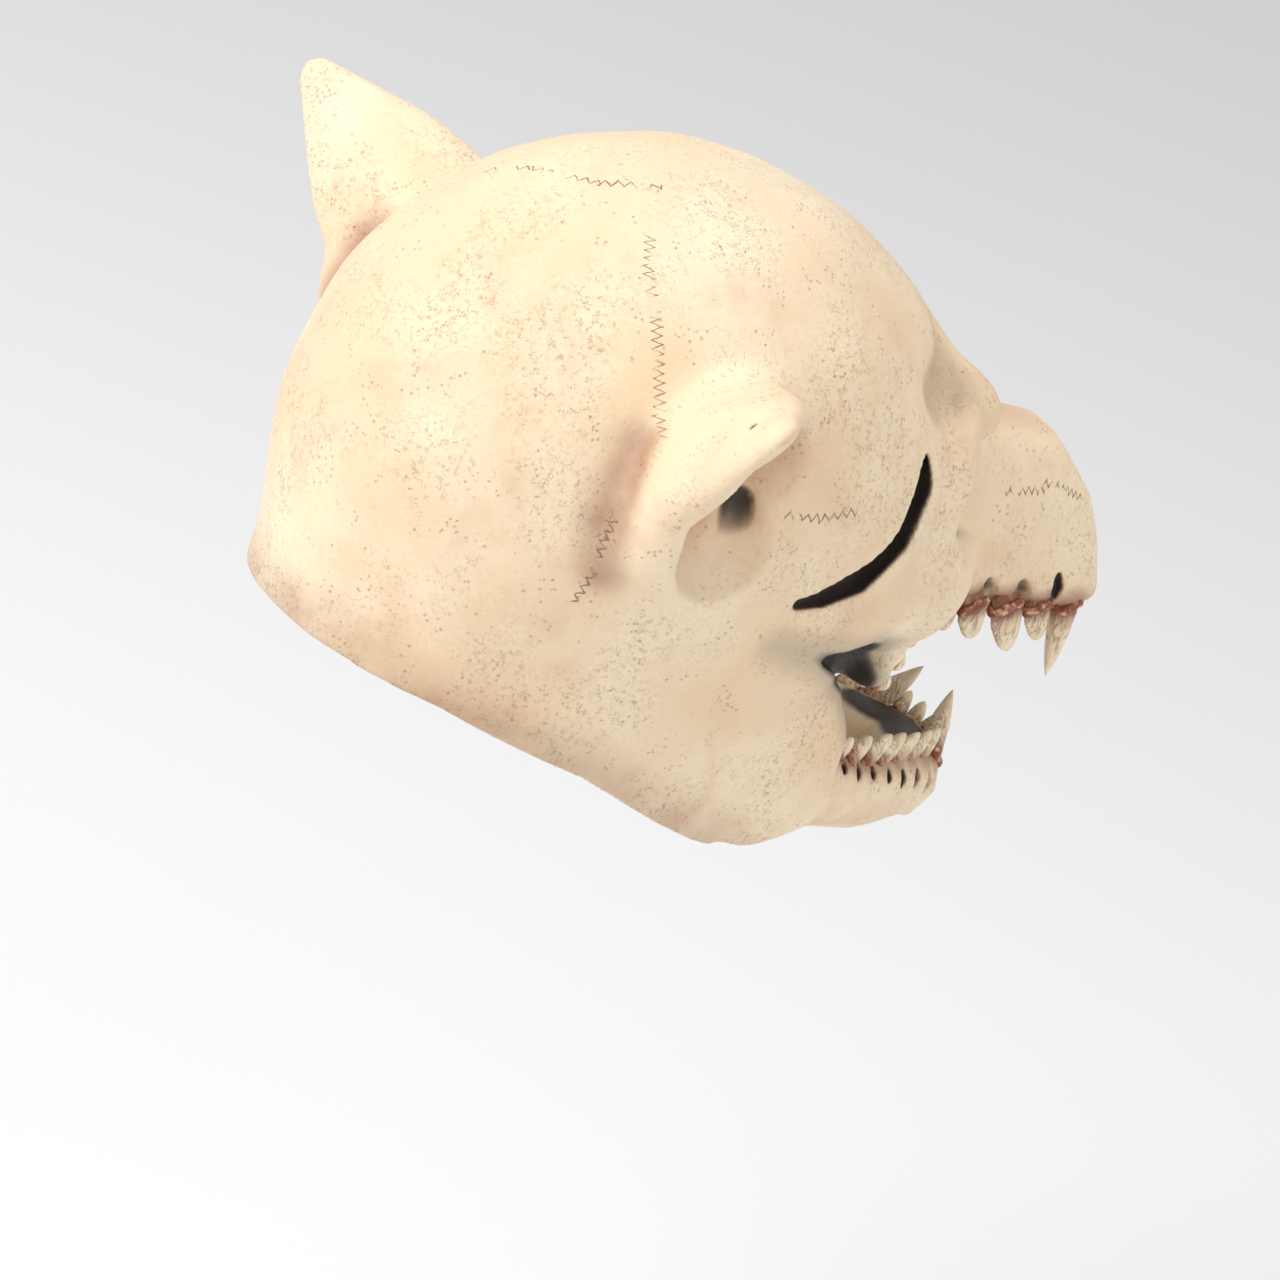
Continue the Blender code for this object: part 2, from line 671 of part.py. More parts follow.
def build_hood(parent, finish, seat_guide):
    """The cast hood: masses melted into one skin, hollowed, opened, trimmed and cut for the teeth."""
    bm = bmesh.new()
    head_balls(bm, 0.0)
    add_loft(bm, neck_rings(0.0))
    half = MUZZLE_WIDTH / 2
    add_loft(bm, box_rings(MUZZLE, MUZZLE_REACH, half, MUZZLE_TOP, GUM_DROP, MUZZLE_POWER, MUZZLE_TOP_SHARE, 0.0))
    floor = [row._replace(top=-row.top) for row in MOUTH_FLOOR]
    add_loft(bm, box_rings(floor, JAW_REACH, JAW_WIDTH, JAW_DROP, JAW_DROP, MOUTH_POWER, 1.0, 0.0))
    for sign in (1, -1):
        head_rods(bm, ORBITAL_BAR, BAR_RADIUS, sign)
        head_rods(bm, INNER_RIM, BAR_RADIUS, sign)
        head_rods(bm, CHEEKBONE, CHEEK_RADIUS, sign)
        head_rods(bm, CHEEK_FRONT, CHEEK_RADIUS, sign)
        jaw_rods(bm, JAW, JAW_RADIUS, sign)
        jaw_rods(bm, JAW_BRIDGE, JAW_RADIUS, sign)
        lift = Vector((0, 0, GUM_RIDGE_RADIUS * 0.7))
        ridge = gum_points(UPPER_GUM[7:], MUZZLE_WIDTH / 2, MUZZLE_REACH, GUM_DROP, sign)
        add_rods(bm, [point + lift for point in ridge], [GUM_RIDGE_RADIUS] * len(ridge))
        add_loft(bm, ear_rings(sign))
        ear_ball(bm, sign, LOBE_PLACE, LOBE_RADII)
    hood = object_from(bm, "skull_hood", parent)
    hood.data.materials.append(finish)
    smooth_clay(hood, CLAY_GRAIN, 4)
    cut_with(hood, build_hollows("hollow_guide", 0.0, parent))
    smooth_clay(hood, SKIN_GRAIN, 2, SKIN_KEEP)
    cut_with(hood, build_cavity(build_hollows("wall_guide", WALL, parent), parent))
    cut_with(hood, build_hem_guide(parent))
    cut_with(hood, build_hole_guide(parent))
    cut_with(hood, seat_guide, crossing=True)
    return hood


def main():
    clear_scene()
    mask = bpy.data.objects.new("dog_skull_mask", None)
    bpy.context.collection.objects.link(mask)
    mask.location = (0, 0, -(HEAD_HEIGHT / 2 - WALL))
    latex = material("bone_latex", BONE, 0.55)
    ivory = material("tooth_latex", IVORY, 0.45)
    seat_guide = build_teeth(mask, ivory)
    build_hood(mask, latex, seat_guide)


if __name__ == "__main__":
    main()
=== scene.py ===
"""Dog skull mask: the finish of a full-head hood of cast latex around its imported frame.

Places in the tables are millimetres from the middle of the cranium, in the mask's own frame: side is
outward on both sides, y runs to the back so that the muzzle points to -y, and z is up. The hood is
one field of distances, melted from a few masses, and a skin is drawn where the field is zero.
"""
import math
from collections import namedtuple

import bpy
import numpy as np
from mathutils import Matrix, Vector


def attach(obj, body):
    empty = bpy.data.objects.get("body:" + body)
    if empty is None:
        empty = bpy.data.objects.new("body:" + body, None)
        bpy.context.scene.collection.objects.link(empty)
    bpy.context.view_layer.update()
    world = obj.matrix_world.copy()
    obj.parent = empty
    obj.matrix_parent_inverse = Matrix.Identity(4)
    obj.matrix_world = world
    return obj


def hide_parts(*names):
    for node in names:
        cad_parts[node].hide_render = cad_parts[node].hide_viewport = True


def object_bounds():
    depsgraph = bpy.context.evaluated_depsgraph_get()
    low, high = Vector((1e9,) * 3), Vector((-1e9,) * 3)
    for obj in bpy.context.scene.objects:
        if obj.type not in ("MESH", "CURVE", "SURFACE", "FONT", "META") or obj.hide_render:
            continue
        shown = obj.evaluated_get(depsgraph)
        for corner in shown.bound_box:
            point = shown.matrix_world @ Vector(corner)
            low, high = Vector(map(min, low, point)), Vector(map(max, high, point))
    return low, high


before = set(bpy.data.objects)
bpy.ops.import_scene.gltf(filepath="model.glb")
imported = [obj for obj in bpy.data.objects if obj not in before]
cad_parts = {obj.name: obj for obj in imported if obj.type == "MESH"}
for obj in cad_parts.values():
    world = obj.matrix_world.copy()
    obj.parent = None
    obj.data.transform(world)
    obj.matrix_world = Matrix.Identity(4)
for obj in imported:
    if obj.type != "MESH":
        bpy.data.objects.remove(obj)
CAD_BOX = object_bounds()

import openvdb
from bpy.props import FloatProperty, FloatVectorProperty, IntProperty, PointerProperty
from mathutils import Matrix, Vector

bl_info = {
    "name": "Dog skull mask",
    "version": (1, 0, 0),
    "blender": (4, 5, 0),
    "location": "3D View > Sidebar > Skull mask",
    "description": "Casts a dog skull mask with its teeth and gums, and sets it in a pale studio",
    "category": "Mesh",
}

MM = 0.001
CROWN_ABOVE_CENTRE = 110.5
HEAD_HALF = (105.0, 131.0, 113.5)
MUZZLE_REACH = 232.0
ROOT_STANDS = 2.6

Ball = namedtuple("Ball", "place radii yaw melt")
Knot = namedtuple("Knot", "side y z radius")
Slice = namedtuple("Slice", "y half top low")
Ring = namedtuple("Ring", "z half middle length")
Leaf = namedtuple("Leaf", "share half depth lean")

# Brow, forehead and the swellings of the cranium
BALLS = (
    Ball((35, -107, 38), (26, 20, 16), -25, 12),
    Ball((0, -104, 40), (26, 20, 20), 0, 16),
)
NECK = (
    Ring(-170, 64, -12, 64),
    Ring(-150, 68, -8, 70),
    Ring(-110, 82, 8, 88),
    Ring(-70, 92, 19, 105),
    Ring(-30, 91, 17, 102),
    Ring(20, 80, 10, 90),
)
HEM = ((-200, -160), (-150, -150), (-80, -146), (-59, -137), (-30, -124), (41, -90), (95, -73), (124, -68), (160, -67))
MUZZLE = (
    Slice(-232, 30.0, -28, -50),
    Slice(-218, 33.4, -4, -55),
    Slice(-198, 35.0, 13, -54),
    Slice(-170, 36.1, 17, -51),
    Slice(-140, 39.9, 20, -49),
    Slice(-110, 46.0, 26, -48),
    Slice(-60, 56.0, 28, -48),
)
MOUTH = (
    Slice(-300, 60, -56, -160),
    Slice(-240, 40, -60, -114),
    Slice(-190, 24, -54, -114),
    Slice(-150, 28, -50, -110),
    Slice(-110, 38, -48, -102),
    Slice(-66, 42, -52, -96),
)
MOUTH_BACK = -66.0
MOUTH_FLOOR = (
    Slice(-178, 6, -127, -138),
    Slice(-162, 20, -126, -137),
    Slice(-123, 35, -123, -133),
    Slice(-90, 46, -119, -128),
    Slice(-71, 44, -116, -126),
)

# Bars and grooves of the face, each a chain of knots
ORBITAL_BAR = (Knot(46, -106, 46, 8), Knot(60, -98, 48, 8), Knot(72, -92, 27, 8.5), Knot(70, -95, 0, 8.5),
               Knot(66, -104, -18, 11))
CHEEKBONE = (Knot(92, 4, -16, 7), Knot(88, -1, -19, 10), Knot(82, -50, -24, 13), Knot(64, -104, -20, 16),
             Knot(48, -124, -18, 14))
CHEEK_FRONT = (Knot(64, -100, -32, 13), Knot(52, -106, -50, 9), Knot(54, -101, -62, 8))
INNER_RIM = (Knot(28, -114, 34, 8), Knot(25, -126, 12, 7), Knot(34, -128, -14, 10))
JAW = (Knot(52, -82, -110, 16), Knot(38, -122, -119, 15), Knot(22, -162, -126, 15), Knot(0, -178, -127, 15))
JAW_BRIDGE = (Knot(44, -66, -112, 11), Knot(20, -84, -118, 9), Knot(0, -90, -120, 9))
GROOVE = (Knot(68, -48, 52, 4), Knot(75, -64, 40, 6), Knot(80, -66, 24, 8.5), Knot(85, -58, 9, 9.5),
          Knot(92, -42, -3, 8), Knot(98, -24, -9, 5), Knot(102, -12, -11, 2))
RECESS = (Knot(94, -8, -26, 3), Knot(88, -34, -32, 6), Knot(78, -64, -42, 9), Knot(66, -84, -56, 9),
          Knot(60, -92, -75, 9))
BROW_DENT = (Knot(44, -100, 66, 8), Knot(58, -96, 60, 10), Knot(72, -80, 56, 7))
JAW_CREASE = (Knot(105, 8, -30, 3.0), Knot(100, 2, -52, 4.5), Knot(89, -17, -82, 5.0), Knot(74, -42, -114, 4.0))

SOCKET = Ball((49, -124, 12), (20, 24, 20), -25, 6)
NOSE = Ball((0, -228, -6), (14, 25, 25), 0, 5)
EYE_HOLE = (Knot(49, -124, 12, 11), Knot(40, -79, 12, 11))
THROAT = Ball((0, -66, -74), (30, 16, 18), 0, 1)

# The ear: its root, its tip and the way that its cup faces
EAR_ROOT = np.array([93.0, 32.0, 33.0])
EAR_TIP = np.array([147.0, 69.0, 83.0])
EAR_FACING = np.array([0.70, -0.50, -0.42])
EAR = (
    Leaf(-0.5, 36, 26, -11),
    Leaf(0.0, 39, 25, -7),
    Leaf(0.3, 32, 20, -2),
    Leaf(0.6, 21, 13, 4),
    Leaf(0.85, 11, 8, 8),
    Leaf(1.0, 5, 5, 10),
)
EAR_LOBE = Ball((99, 39, 12), (17, 29, 24), 0, 10)
EAR_BOWL = Ball((117, 30, 10), (18, 25, 21), 0, 6)
EAR_CANAL = (Knot(106, 26, 14, 8), Knot(97, 24, 26, 6))

# Jagged seams of the skull: the ends of each, then its swing and the length of one tooth of it
Seam = namedtuple("Seam", "name points swing step")
SEAMS = (
    Seam("coronal", ((-38, 47, 97), (-51, 53, 87), (-62, 54, 77), (-72, 56, 66), (-79, 57, 57), (-86, 58, 44)), 4.0, 3.2),
    Seam("sagittal", ((32, 67, 90), (18, 61, 98), (5, 58, 101), (-7, 50, 104), (-17, 36, 107), (-19, 20, 110)), 3.0, 4.4),
    Seam("temple", ((-104, 6, 24), (-103, -10, 22), (-101, -27, 24)), 2.8, 4.2),
    Seam("muzzle", ((-24, -168, -5), (-21, -187, -4), (-19, -210, -11)), 2.4, 3.2),
    Seam("nape", ((-91, 70, 15), (-90, 71, 5), (-89, 70, -6), (-86, 72, -18)), 2.6, 3.6),
)


class SkullSizes(bpy.types.PropertyGroup):
    """Sizes of the casting that its maker would change."""
    grain: FloatProperty(name="Grain", description="Spacing of the field that the skin is drawn from",
                         default=0.0015, unit="LENGTH")
    wall: FloatProperty(name="Wall", description="Thickness of the latex", default=0.0032, unit="LENGTH")
    most_triangles: IntProperty(name="Most triangles", description="Upper limit on the hood's triangles", default=190000)
    root_bulge: FloatProperty(name="Root bulge", description="Radius of the swelling over a tooth's root",
                              default=0.0042, unit="LENGTH")
    rim: FloatProperty(name="Gum rim", description="Radius of the gum's rim round a tooth", default=0.0015, unit="LENGTH")


class SkullColours(bpy.types.PropertyGroup):
    """Colours of the casting and its paint."""
    bone: FloatVectorProperty(name="Bone", description="Ground colour of the latex", subtype="COLOR", size=3,
                              default=(0.84, 0.64, 0.42))
    # Pale bone is the latex's paler tone in clouds, and also the painted highlight laid on convex edges.
    pale: FloatVectorProperty(name="Pale bone", description="Rubbed high places", subtype="COLOR", size=3,
                              default=(0.93, 0.79, 0.57))
    # Blush is a peach tint in clouds, and also darkens the hollows as painted shade together with the wash there.
    blush: FloatVectorProperty(name="Blush", description="Peach tint in broad clouds", subtype="COLOR", size=3,
                               default=(0.72, 0.43, 0.27))
    # The red-brown wash also darkens the crease behind the ear's root as painted shade.
    wash: FloatVectorProperty(name="Red-brown wash", description="Wash in hollows and round the gums",
                              subtype="COLOR", size=3, default=(0.23, 0.055, 0.022))
    # Umber also darkens the fine hollows as painted shade, together with the paint left there.
    umber: FloatVectorProperty(name="Umber", description="Paint left in pits and creases", subtype="COLOR", size=3,
                               default=(0.20, 0.10, 0.05))
    # Dusk is painted shade in the brow dent and round the cheek recess, laid over the grey-brown airbrush there.
    dusk: FloatVectorProperty(name="Dusk", description="Grey-brown airbrush over the brow and cheek", subtype="COLOR",
                              size=3, default=(0.22, 0.165, 0.11))
    soot: FloatVectorProperty(name="Soot", description="Black of the deep recesses", subtype="COLOR", size=3,
                              default=(0.012, 0.011, 0.011))
    ivory: FloatVectorProperty(name="Ivory", description="Ground colour of the teeth", subtype="COLOR", size=3,
                               default=(0.84, 0.66, 0.44))
    lining: FloatVectorProperty(name="Bare latex", description="Unpainted inside of the hood", subtype="COLOR",
                                size=3, default=(0.66, 0.52, 0.34))


class SkullStage(bpy.types.PropertyGroup):
    """The camera and the pale studio."""
    azimuth: FloatProperty(name="Azimuth", description="Camera's way round the mask", default=math.radians(229),
                           subtype="ANGLE")
    elevation: FloatProperty(name="Elevation", description="Camera's height", default=math.radians(20), subtype="ANGLE")
    roll: FloatProperty(name="Roll", description="Tilt of the camera about its own axis", default=math.radians(17.5),
                        subtype="ANGLE")
    distance: FloatProperty(name="Distance", description="From the cranium to the camera", default=2.4, unit="LENGTH")
    lens: FloatProperty(name="Lens", description="Focal length in millimetres on a 36 mm sensor", default=189.0)
    floor_drop: FloatProperty(name="Floor drop", description="From the hem down to the floor", default=0.30,
                              unit="LENGTH")


def sizes():
    return bpy.context.scene.skull_sizes


def colours():
    return bpy.context.scene.skull_colours


def smooth_min(a, b, k):
    """The smaller of two distances, with a fillet of width k where they meet."""
    h = np.maximum(k - np.abs(a - b), 0) / k
    return np.minimum(a, b) - h * h * k * 0.25


def smooth_max(a, b, k):
    """The larger of two distances, with a fillet of width k where they meet."""
    return -smooth_min(-a, -b, k)


def ease(low, high, value):
    """A soft step from zero at low to one at high."""
    t = np.clip((value - low) / (high - low), 0, 1)
    return t * t * (3 - 2 * t)


def turned(degrees):
    """Rotation about the upright axis."""
    a = math.radians(degrees)
    return np.array([[math.cos(a), -math.sin(a), 0], [math.sin(a), math.cos(a), 0], [0, 0, 1]], np.float32)


def ball(p, spec):
    """Distance to an ellipsoid: the scaled length less one, over the length of its gradient."""
    q = (p - np.float32(spec.place)) @ turned(spec.yaw)
    r = np.float32(spec.radii)
    k0 = np.sqrt(((q / r) ** 2).sum(-1)) + 1e-6
    k1 = np.sqrt(((q / (r * r)) ** 2).sum(-1)) + 1e-9
    return k0 * (k0 - 1) / k1


def chain(p, knots):
    """Distance to a chain of tapered rods: to the nearest point of each rod, less its radius there."""
    near = None
    for a, b in zip(knots, knots[1:]):
        start = np.float32(a[:3])
        along = np.float32(b[:3]) - start
        q = p - start
        t = np.clip(q @ along / (along @ along), 0, 1)
        d = np.sqrt(((q - t[..., None] * along) ** 2).sum(-1)) - (a.radius + (b.radius - a.radius) * t)
        near = d if near is None else np.minimum(near, d)
    return near


def table_at(value, rows, key, column):
    """A column of a table read at each value of its key, with straight lines between the rows."""
    keys = np.array([getattr(row, key) for row in rows], float)
    found = np.array([getattr(row, column) for row in rows], float)
    order = np.argsort(keys)
    return np.interp(value, keys[order], found[order]).astype(np.float32)


def loft(p, rows, power, top_share):
    """Distance to a rounded box whose width, top and low edge change along y, narrower at its top."""
    y = p[..., 1]
    half = table_at(y, rows, "y", "half")
    top = table_at(y, rows, "y", "top")
    low = table_at(y, rows, "y", "low")
    tall = (top - low) / 2
    v = (p[..., 2] - (top + low) / 2) / tall
    half = half * (1 - (1 - top_share) * np.clip((v + 1) / 2, 0, 1.1))
    r = ((np.abs(p[..., 0]) / half) ** power + np.abs(v) ** power) ** (1 / power)
    return (r - 1) * np.minimum(half, tall) * 0.9


def cranium(p):
    """Distance to an egg: an ellipsoid with another radius for its front half and its lower half."""
    x, y, z = p[..., 0], p[..., 1], p[..., 2]
    front = np.clip(-y / 110, 0, 1)
    long = np.where(y > 0, HEAD_HALF[1] - 3, HEAD_HALF[1] + 4).astype(np.float32)
    tall = np.where(z < 0, HEAD_HALF[2] + 0.5, HEAD_HALF[2] - 0.5 - 4 * front * front * (3 - 2 * front))
    q = np.stack([x / HEAD_HALF[0], y / long, z / tall], -1)
    k0 = np.sqrt((q ** 2).sum(-1)) + 1e-6
    k1 = np.sqrt((x / HEAD_HALF[0] ** 2) ** 2 + (y / long ** 2) ** 2 + (z / tall ** 2) ** 2) + 1e-9
    return k0 * (k0 - 1) / k1


def neck(p):
    """Distance to the neck skirt: an upright tube of ellipses, closed inside the cranium."""
    z = p[..., 2]
    half = table_at(z, NECK, "z", "half")
    middle = table_at(z, NECK, "z", "middle")
    length = table_at(z, NECK, "z", "length")
    tube = (np.sqrt((p[..., 0] / half) ** 2 + ((p[..., 1] - middle) / length) ** 2) - 1) * half * 0.95
    return smooth_max(tube, z, 20)


def above_hem(p):
    """Height above the slanted hem, negative below it."""
    ys, zs = zip(*HEM)
    return p[..., 2] - np.interp(p[..., 1], ys, zs).astype(np.float32)


def muzzle(p):
    """Distance to the muzzle, a rounded box with a narrow ridge and a flat gum."""
    d = loft(p, MUZZLE, 4.0, 0.50)
    return smooth_max(smooth_max(d, -MUZZLE_REACH - p[..., 1], 8), p[..., 1] + 60, 12)


def mouth(p):
    """Distance to the open space between the jaws."""
    return smooth_max(loft(p, MOUTH, 3.0, 1.0), p[..., 1] - MOUTH_BACK, 10)


def ear_axes():
    """The ear's length and its three directions: along it, across it and the way that its cup faces."""
    along = EAR_TIP - EAR_ROOT
    length = float(np.linalg.norm(along))
    along = along / length
    facing = EAR_FACING - along * (EAR_FACING @ along)
    facing /= np.linalg.norm(facing)
    return length, along, np.cross(along, facing), facing


def ear_shell(p):
    """Distance to the ear's outer form: a leaf of half-moon sections along its axis."""
    length, along, across, facing = ear_axes()
    q = p - np.float32(EAR_ROOT)
    t = q @ np.float32(along)
    w = q @ np.float32(across)
    n = q @ np.float32(facing) - table_at(t / length, EAR, "share", "lean")
    half = table_at(t / length, EAR, "share", "half")
    deep = table_at(t / length, EAR, "share", "depth")
    outer = (np.sqrt((w / half) ** 2 + (n / deep) ** 2) - 1) * np.minimum(half, deep)
    outer = smooth_max(outer, t - length, 6)
    outer = smooth_max(outer, -t - 40, 6)
    outer = smooth_max(outer, n - 0.55 * deep, 5)
    return smooth_min(outer, ball(p, EAR_LOBE), EAR_LOBE.melt)


def ear_cup(p):
    """Distance to the hollow of the ear, with its bowl and the start of its canal."""
    length, along, across, facing = ear_axes()
    q = p - np.float32(EAR_ROOT)
    t = q @ np.float32(along)
    w = q @ np.float32(across)
    n = q @ np.float32(facing) - table_at(t / length, EAR, "share", "lean")
    half = np.maximum(table_at(t / length, EAR, "share", "half") - 4.5, 1)
    deep = table_at(t / length, EAR, "share", "depth")
    inner = (np.sqrt((w / half) ** 2 + ((n - 0.9 * deep) / (deep * 1.45)) ** 2) - 1) * half
    inner = smooth_max(inner, t - length * 0.78, 4)
    inner = smooth_max(inner, -t - 6, 10)
    inner = smooth_min(inner, ball(p, EAR_BOWL), EAR_BOWL.melt)
    return smooth_min(inner, chain(p, EAR_CANAL), 4)


class Field:
    """Distances on a grid over one half of the head; a shape is worked out only in the box that it reaches."""

    def __init__(self, low, high, grain):
        self.grain = grain
        self.axes = [np.arange(a, b + grain, grain, dtype=np.float32) for a, b in zip(low, high)]
        self.d = np.full([len(a) for a in self.axes], 60.0, np.float32)

    def window(self, low, high, margin):
        """The part of the grid inside a box, and the places of its points."""
        spans = [slice(*np.searchsorted(a, (lo - margin, hi + margin))) for a, lo, hi in zip(self.axes, low, high)]
        x, y, z = [a[s] for a, s in zip(self.axes, spans)]
        p = np.stack(np.meshgrid(x, y, z, indexing="ij"), -1)
        return tuple(spans), p

    def places(self):
        """The places of all the grid's points."""
        return np.stack(np.meshgrid(*self.axes, indexing="ij"), -1)

    def at(self, place):
        """The distance at the grid point nearest to a place."""
        return float(self.d[tuple(min(np.searchsorted(a, c), len(a) - 1) for a, c in zip(self.axes, place))])

    def melt(self, shape, low, high, k):
        """Adds a shape with a fillet."""
        where, p = self.window(low, high, 24)
        self.d[where] = smooth_min(self.d[where], shape(p), k)

    def carve(self, shape, low, high, k):
        """Takes a shape away with a fillet."""
        where, p = self.window(low, high, 12)
        self.d[where] = smooth_max(self.d[where], -shape(p), k)


def ball_box(spec):
    """A box that holds a ball."""
    reach = max(spec.radii)
    return [c - reach for c in spec.place], [c + reach for c in spec.place]


def chain_box(knots):
    """A box that holds a chain of knots."""
    places = np.array([knot[:3] for knot in knots], float)
    reach = max(knot.radius for knot in knots)
    return places.min(0) - reach, places.max(0) + reach


class ToothFrame:
    """Where one tooth stands, read from the rings of its solid: places in millimetres, foot to tip."""

    def __init__(self, name):
        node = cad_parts[name]
        places = np.zeros(len(node.data.vertices) * 3)
        node.data.vertices.foreach_get("co", places)
        places = places.reshape(-1, 3) / MM + (0, 0, CROWN_ABOVE_CENTRE)
        places = np.unique(np.round(places, 3), axis=0)
        spread = np.linalg.svd(places - places.mean(0), full_matrices=False)[2][0]
        rise = -1 if name.startswith("upper") else 1
        if spread[2] * rise < 0:
            spread = -spread
        order = np.argsort(places @ spread)
        rings = places[order].reshape(5, -1, 3)
        self.name = name
        self.rise = rise
        self.middles = rings.mean(1)
        neck = rings[1] - self.middles[1]
        self.axis = self.unit(self.middles[2] - self.middles[1])
        across = np.linalg.svd(neck, full_matrices=False)[2][0]
        self.across = self.unit(across - self.axis * (across @ self.axis))
        self.through = np.cross(self.axis, self.across)
        self.half_width = np.abs(neck @ self.across).max()
        self.half_thickness = np.abs(neck @ self.through).max() / math.sin(math.pi / 3)
        self.length = float(np.linalg.norm(self.middles[4] - self.middles[1]))

    @staticmethod
    def unit(v):
        return v / np.linalg.norm(v)

    def middle(self, height):
        """The axis at each height: minus one at the foot, zero at the neck, one at the tip."""
        steps = (-1.0, 0.0, 0.36, 0.74, 1.0)
        return np.stack([np.interp(height, steps, self.middles[:, i]) for i in range(3)], -1)


TEETH = [ToothFrame(name) for name in sorted(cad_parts) if name != "skull_hood"]
ROOT_PITS = []


def tooth_order(tooth):
    """The tooth's rank along its jaw from the front middle to the back."""
    groups = ("incisor", "canine", "premolar", "molar")
    kind = next(i for i, name in enumerate(groups) if "_" + name in tooth.name)
    return kind, tooth.name


def head_field(grain):
    """The outer form of the hood on the positive side, before its wall is made."""
    field = Field((0, -244, -176), (162, 140, 124), grain)
    p = field.places()
    field.d = smooth_min(cranium(p), neck(p), 20)
    for spec in BALLS:
        field.melt(lambda q, s=spec: ball(q, s), *ball_box(spec), spec.melt)
    field.melt(muzzle, (0, -236, -60), (60, -50, 30), 9)
    for knots, k in ((ORBITAL_BAR, 5), (CHEEKBONE, 8), (CHEEK_FRONT, 10), (INNER_RIM, 8)):
        field.melt(lambda q, c=knots: chain(q, c), *chain_box(knots), k)
    for knots, k in ((JAW, 8), (JAW_BRIDGE, 14)):
        field.melt(lambda q, c=knots: chain(q, c), *chain_box(knots), k)
    field.melt(lambda q: ball(q, Ball((62, -60, -90), (15, 32, 40), 0, 7)), (45, -100, -135), (80, -25, -48), 7)
    field.melt(lambda q: smooth_max(smooth_max(loft(q, MOUTH_FLOOR, 3.0, 1.0), q[..., 1] + 71, 6), -178 - q[..., 1], 6),
               (0, -178, -140), (48, -70, -114), 6)
    field.carve(lambda q: chain(q, GROOVE), *chain_box(GROOVE), 4)
    field.carve(lambda q: ball(q, SOCKET), *ball_box(SOCKET), SOCKET.melt)
    field.carve(lambda q: chain(q, RECESS), *chain_box(RECESS), 4)
    field.carve(mouth, (0, -244, -162), (62, -60, -40), 4)
    field.carve(lambda q: ball(q, NOSE), *ball_box(NOSE), NOSE.melt)
    field.carve(lambda q: chain(q, BROW_DENT), *chain_box(BROW_DENT), 12)
    field.carve(lambda q: chain(q, JAW_CREASE), *chain_box(JAW_CREASE), 5)
    swell = sizes().root_bulge / MM
    for jaw in ("upper", "lower"):
        row = sorted((t for t in TEETH if t.name.startswith(jaw) and t.name.endswith("right")), key=tooth_order)
        roots = [root_bulge(field, tooth, swell) for tooth in row]
        cheek = [knots for tooth, knots in zip(row, roots) if "incisor" not in tooth.name]
        ROOT_PITS.extend(gap_pits(field, cheek[:6] if jaw == "upper" else cheek))
    field.melt(ear_shell, (76, -12, -20), (158, 78, 92), 10)
    field.carve(ear_cup, (90, -12, -16), (160, 72, 88), 3.5)
    return field


def root_bulge(field, tooth, swell):
    """A swelling of the bone over one root: a rod from the tooth's neck up its root, kept level with the skin."""
    flip = np.array([-1.0, 1.0, 1.0])
    neck = tooth.middles[1] * flip
    axis = tooth.axis * flip
    out = tooth.through * flip
    out = out if out[0] > 0.0 else -out
    if "incisor" in tooth.name:
        out = np.array([0.0, -1.0, 0.0])
    wide = min(tooth.half_width / 5.5, 1.35)
    long = 24.0 if "canine" in tooth.name else (15.0 if tooth.rise < 0 else 9.0)
    knots = []
    for share, size in ((0.06, 1.0), (0.5, 0.95), (1.0, 0.55)):
        place = neck - axis * (long * share)
        radius = swell * wide * size
        depth = -field.at(place)
        place = place + out * (depth - radius + ROOT_STANDS * size)
        knots.append(Knot(*place, radius))
    field.melt(lambda q: chain(q, knots), *chain_box(knots), 2.5)
    return knots


def gap_pits(field, roots):
    """The hollows between the roots: a thin rod along the middle of each two neighbours, sunk in the skin."""
    pits = []
    for first, second in zip(roots, roots[1:]):
        knots = []
        for share, radius in ((0.35, 1.3), (0.8, 2.6), (1.35, 1.4)):
            a = np.array(first[0][:3]) + (np.array(first[1][:3]) - np.array(first[0][:3])) * share
            b = np.array(second[0][:3]) + (np.array(second[1][:3]) - np.array(second[0][:3])) * share
            knots.append(Knot(*((a + b) / 2 + np.array((1.2, 0, 0))), radius))
        field.carve(lambda q, c=tuple(knots): chain(q, c), *chain_box(knots), 2.5)
        pits.append(tuple(knots))
    return pits


def full_grid(half):
    """Both sides of the head from the field of one."""
    return np.concatenate([half[:0:-1], half], axis=0)


def lumps(x, y, z):
    """Slow hand-made unevenness of the casting, in millimetres: a sum of slanted waves."""
    a = np.sin(x * 0.071 + 1.3) * np.sin(y * 0.063 + 0.4) * np.sin(z * 0.079 + 2.1)
    b = np.sin(x * 0.13 + y * 0.05 + 0.7) * np.sin(z * 0.11 - y * 0.09 + 1.9)
    return 0.9 * a + 0.35 * b


def sample(grid, low, grain, places):
    """The grid's values at places, by straight lines between its points."""
    f = (places - low) / grain
    top = np.array(grid.shape) - 2
    i = np.clip(np.floor(f).astype(int), 0, top)
    t = np.clip(f - i, 0, 1)
    total = 0
    for corner in np.ndindex(2, 2, 2):
        weight = np.prod(np.where(corner, t, 1 - t), axis=1)
        total = total + weight * grid[i[:, 0] + corner[0], i[:, 1] + corner[1], i[:, 2] + corner[2]]
    return total


def skin_of(grid, low, grain):
    """The surface where a grid of distances is zero, as places in millimetres and faces."""
    volume = openvdb.FloatGrid(float(grid.max()))
    volume.copyFromArray(np.ascontiguousarray(grid, dtype=np.float32))
    points, triangles, quads = volume.convertToPolygons(isovalue=0.0, adaptivity=0.0)
    places = points.astype(np.float64) * grain + low
    return places, triangles[:, ::-1], quads[:, ::-1]


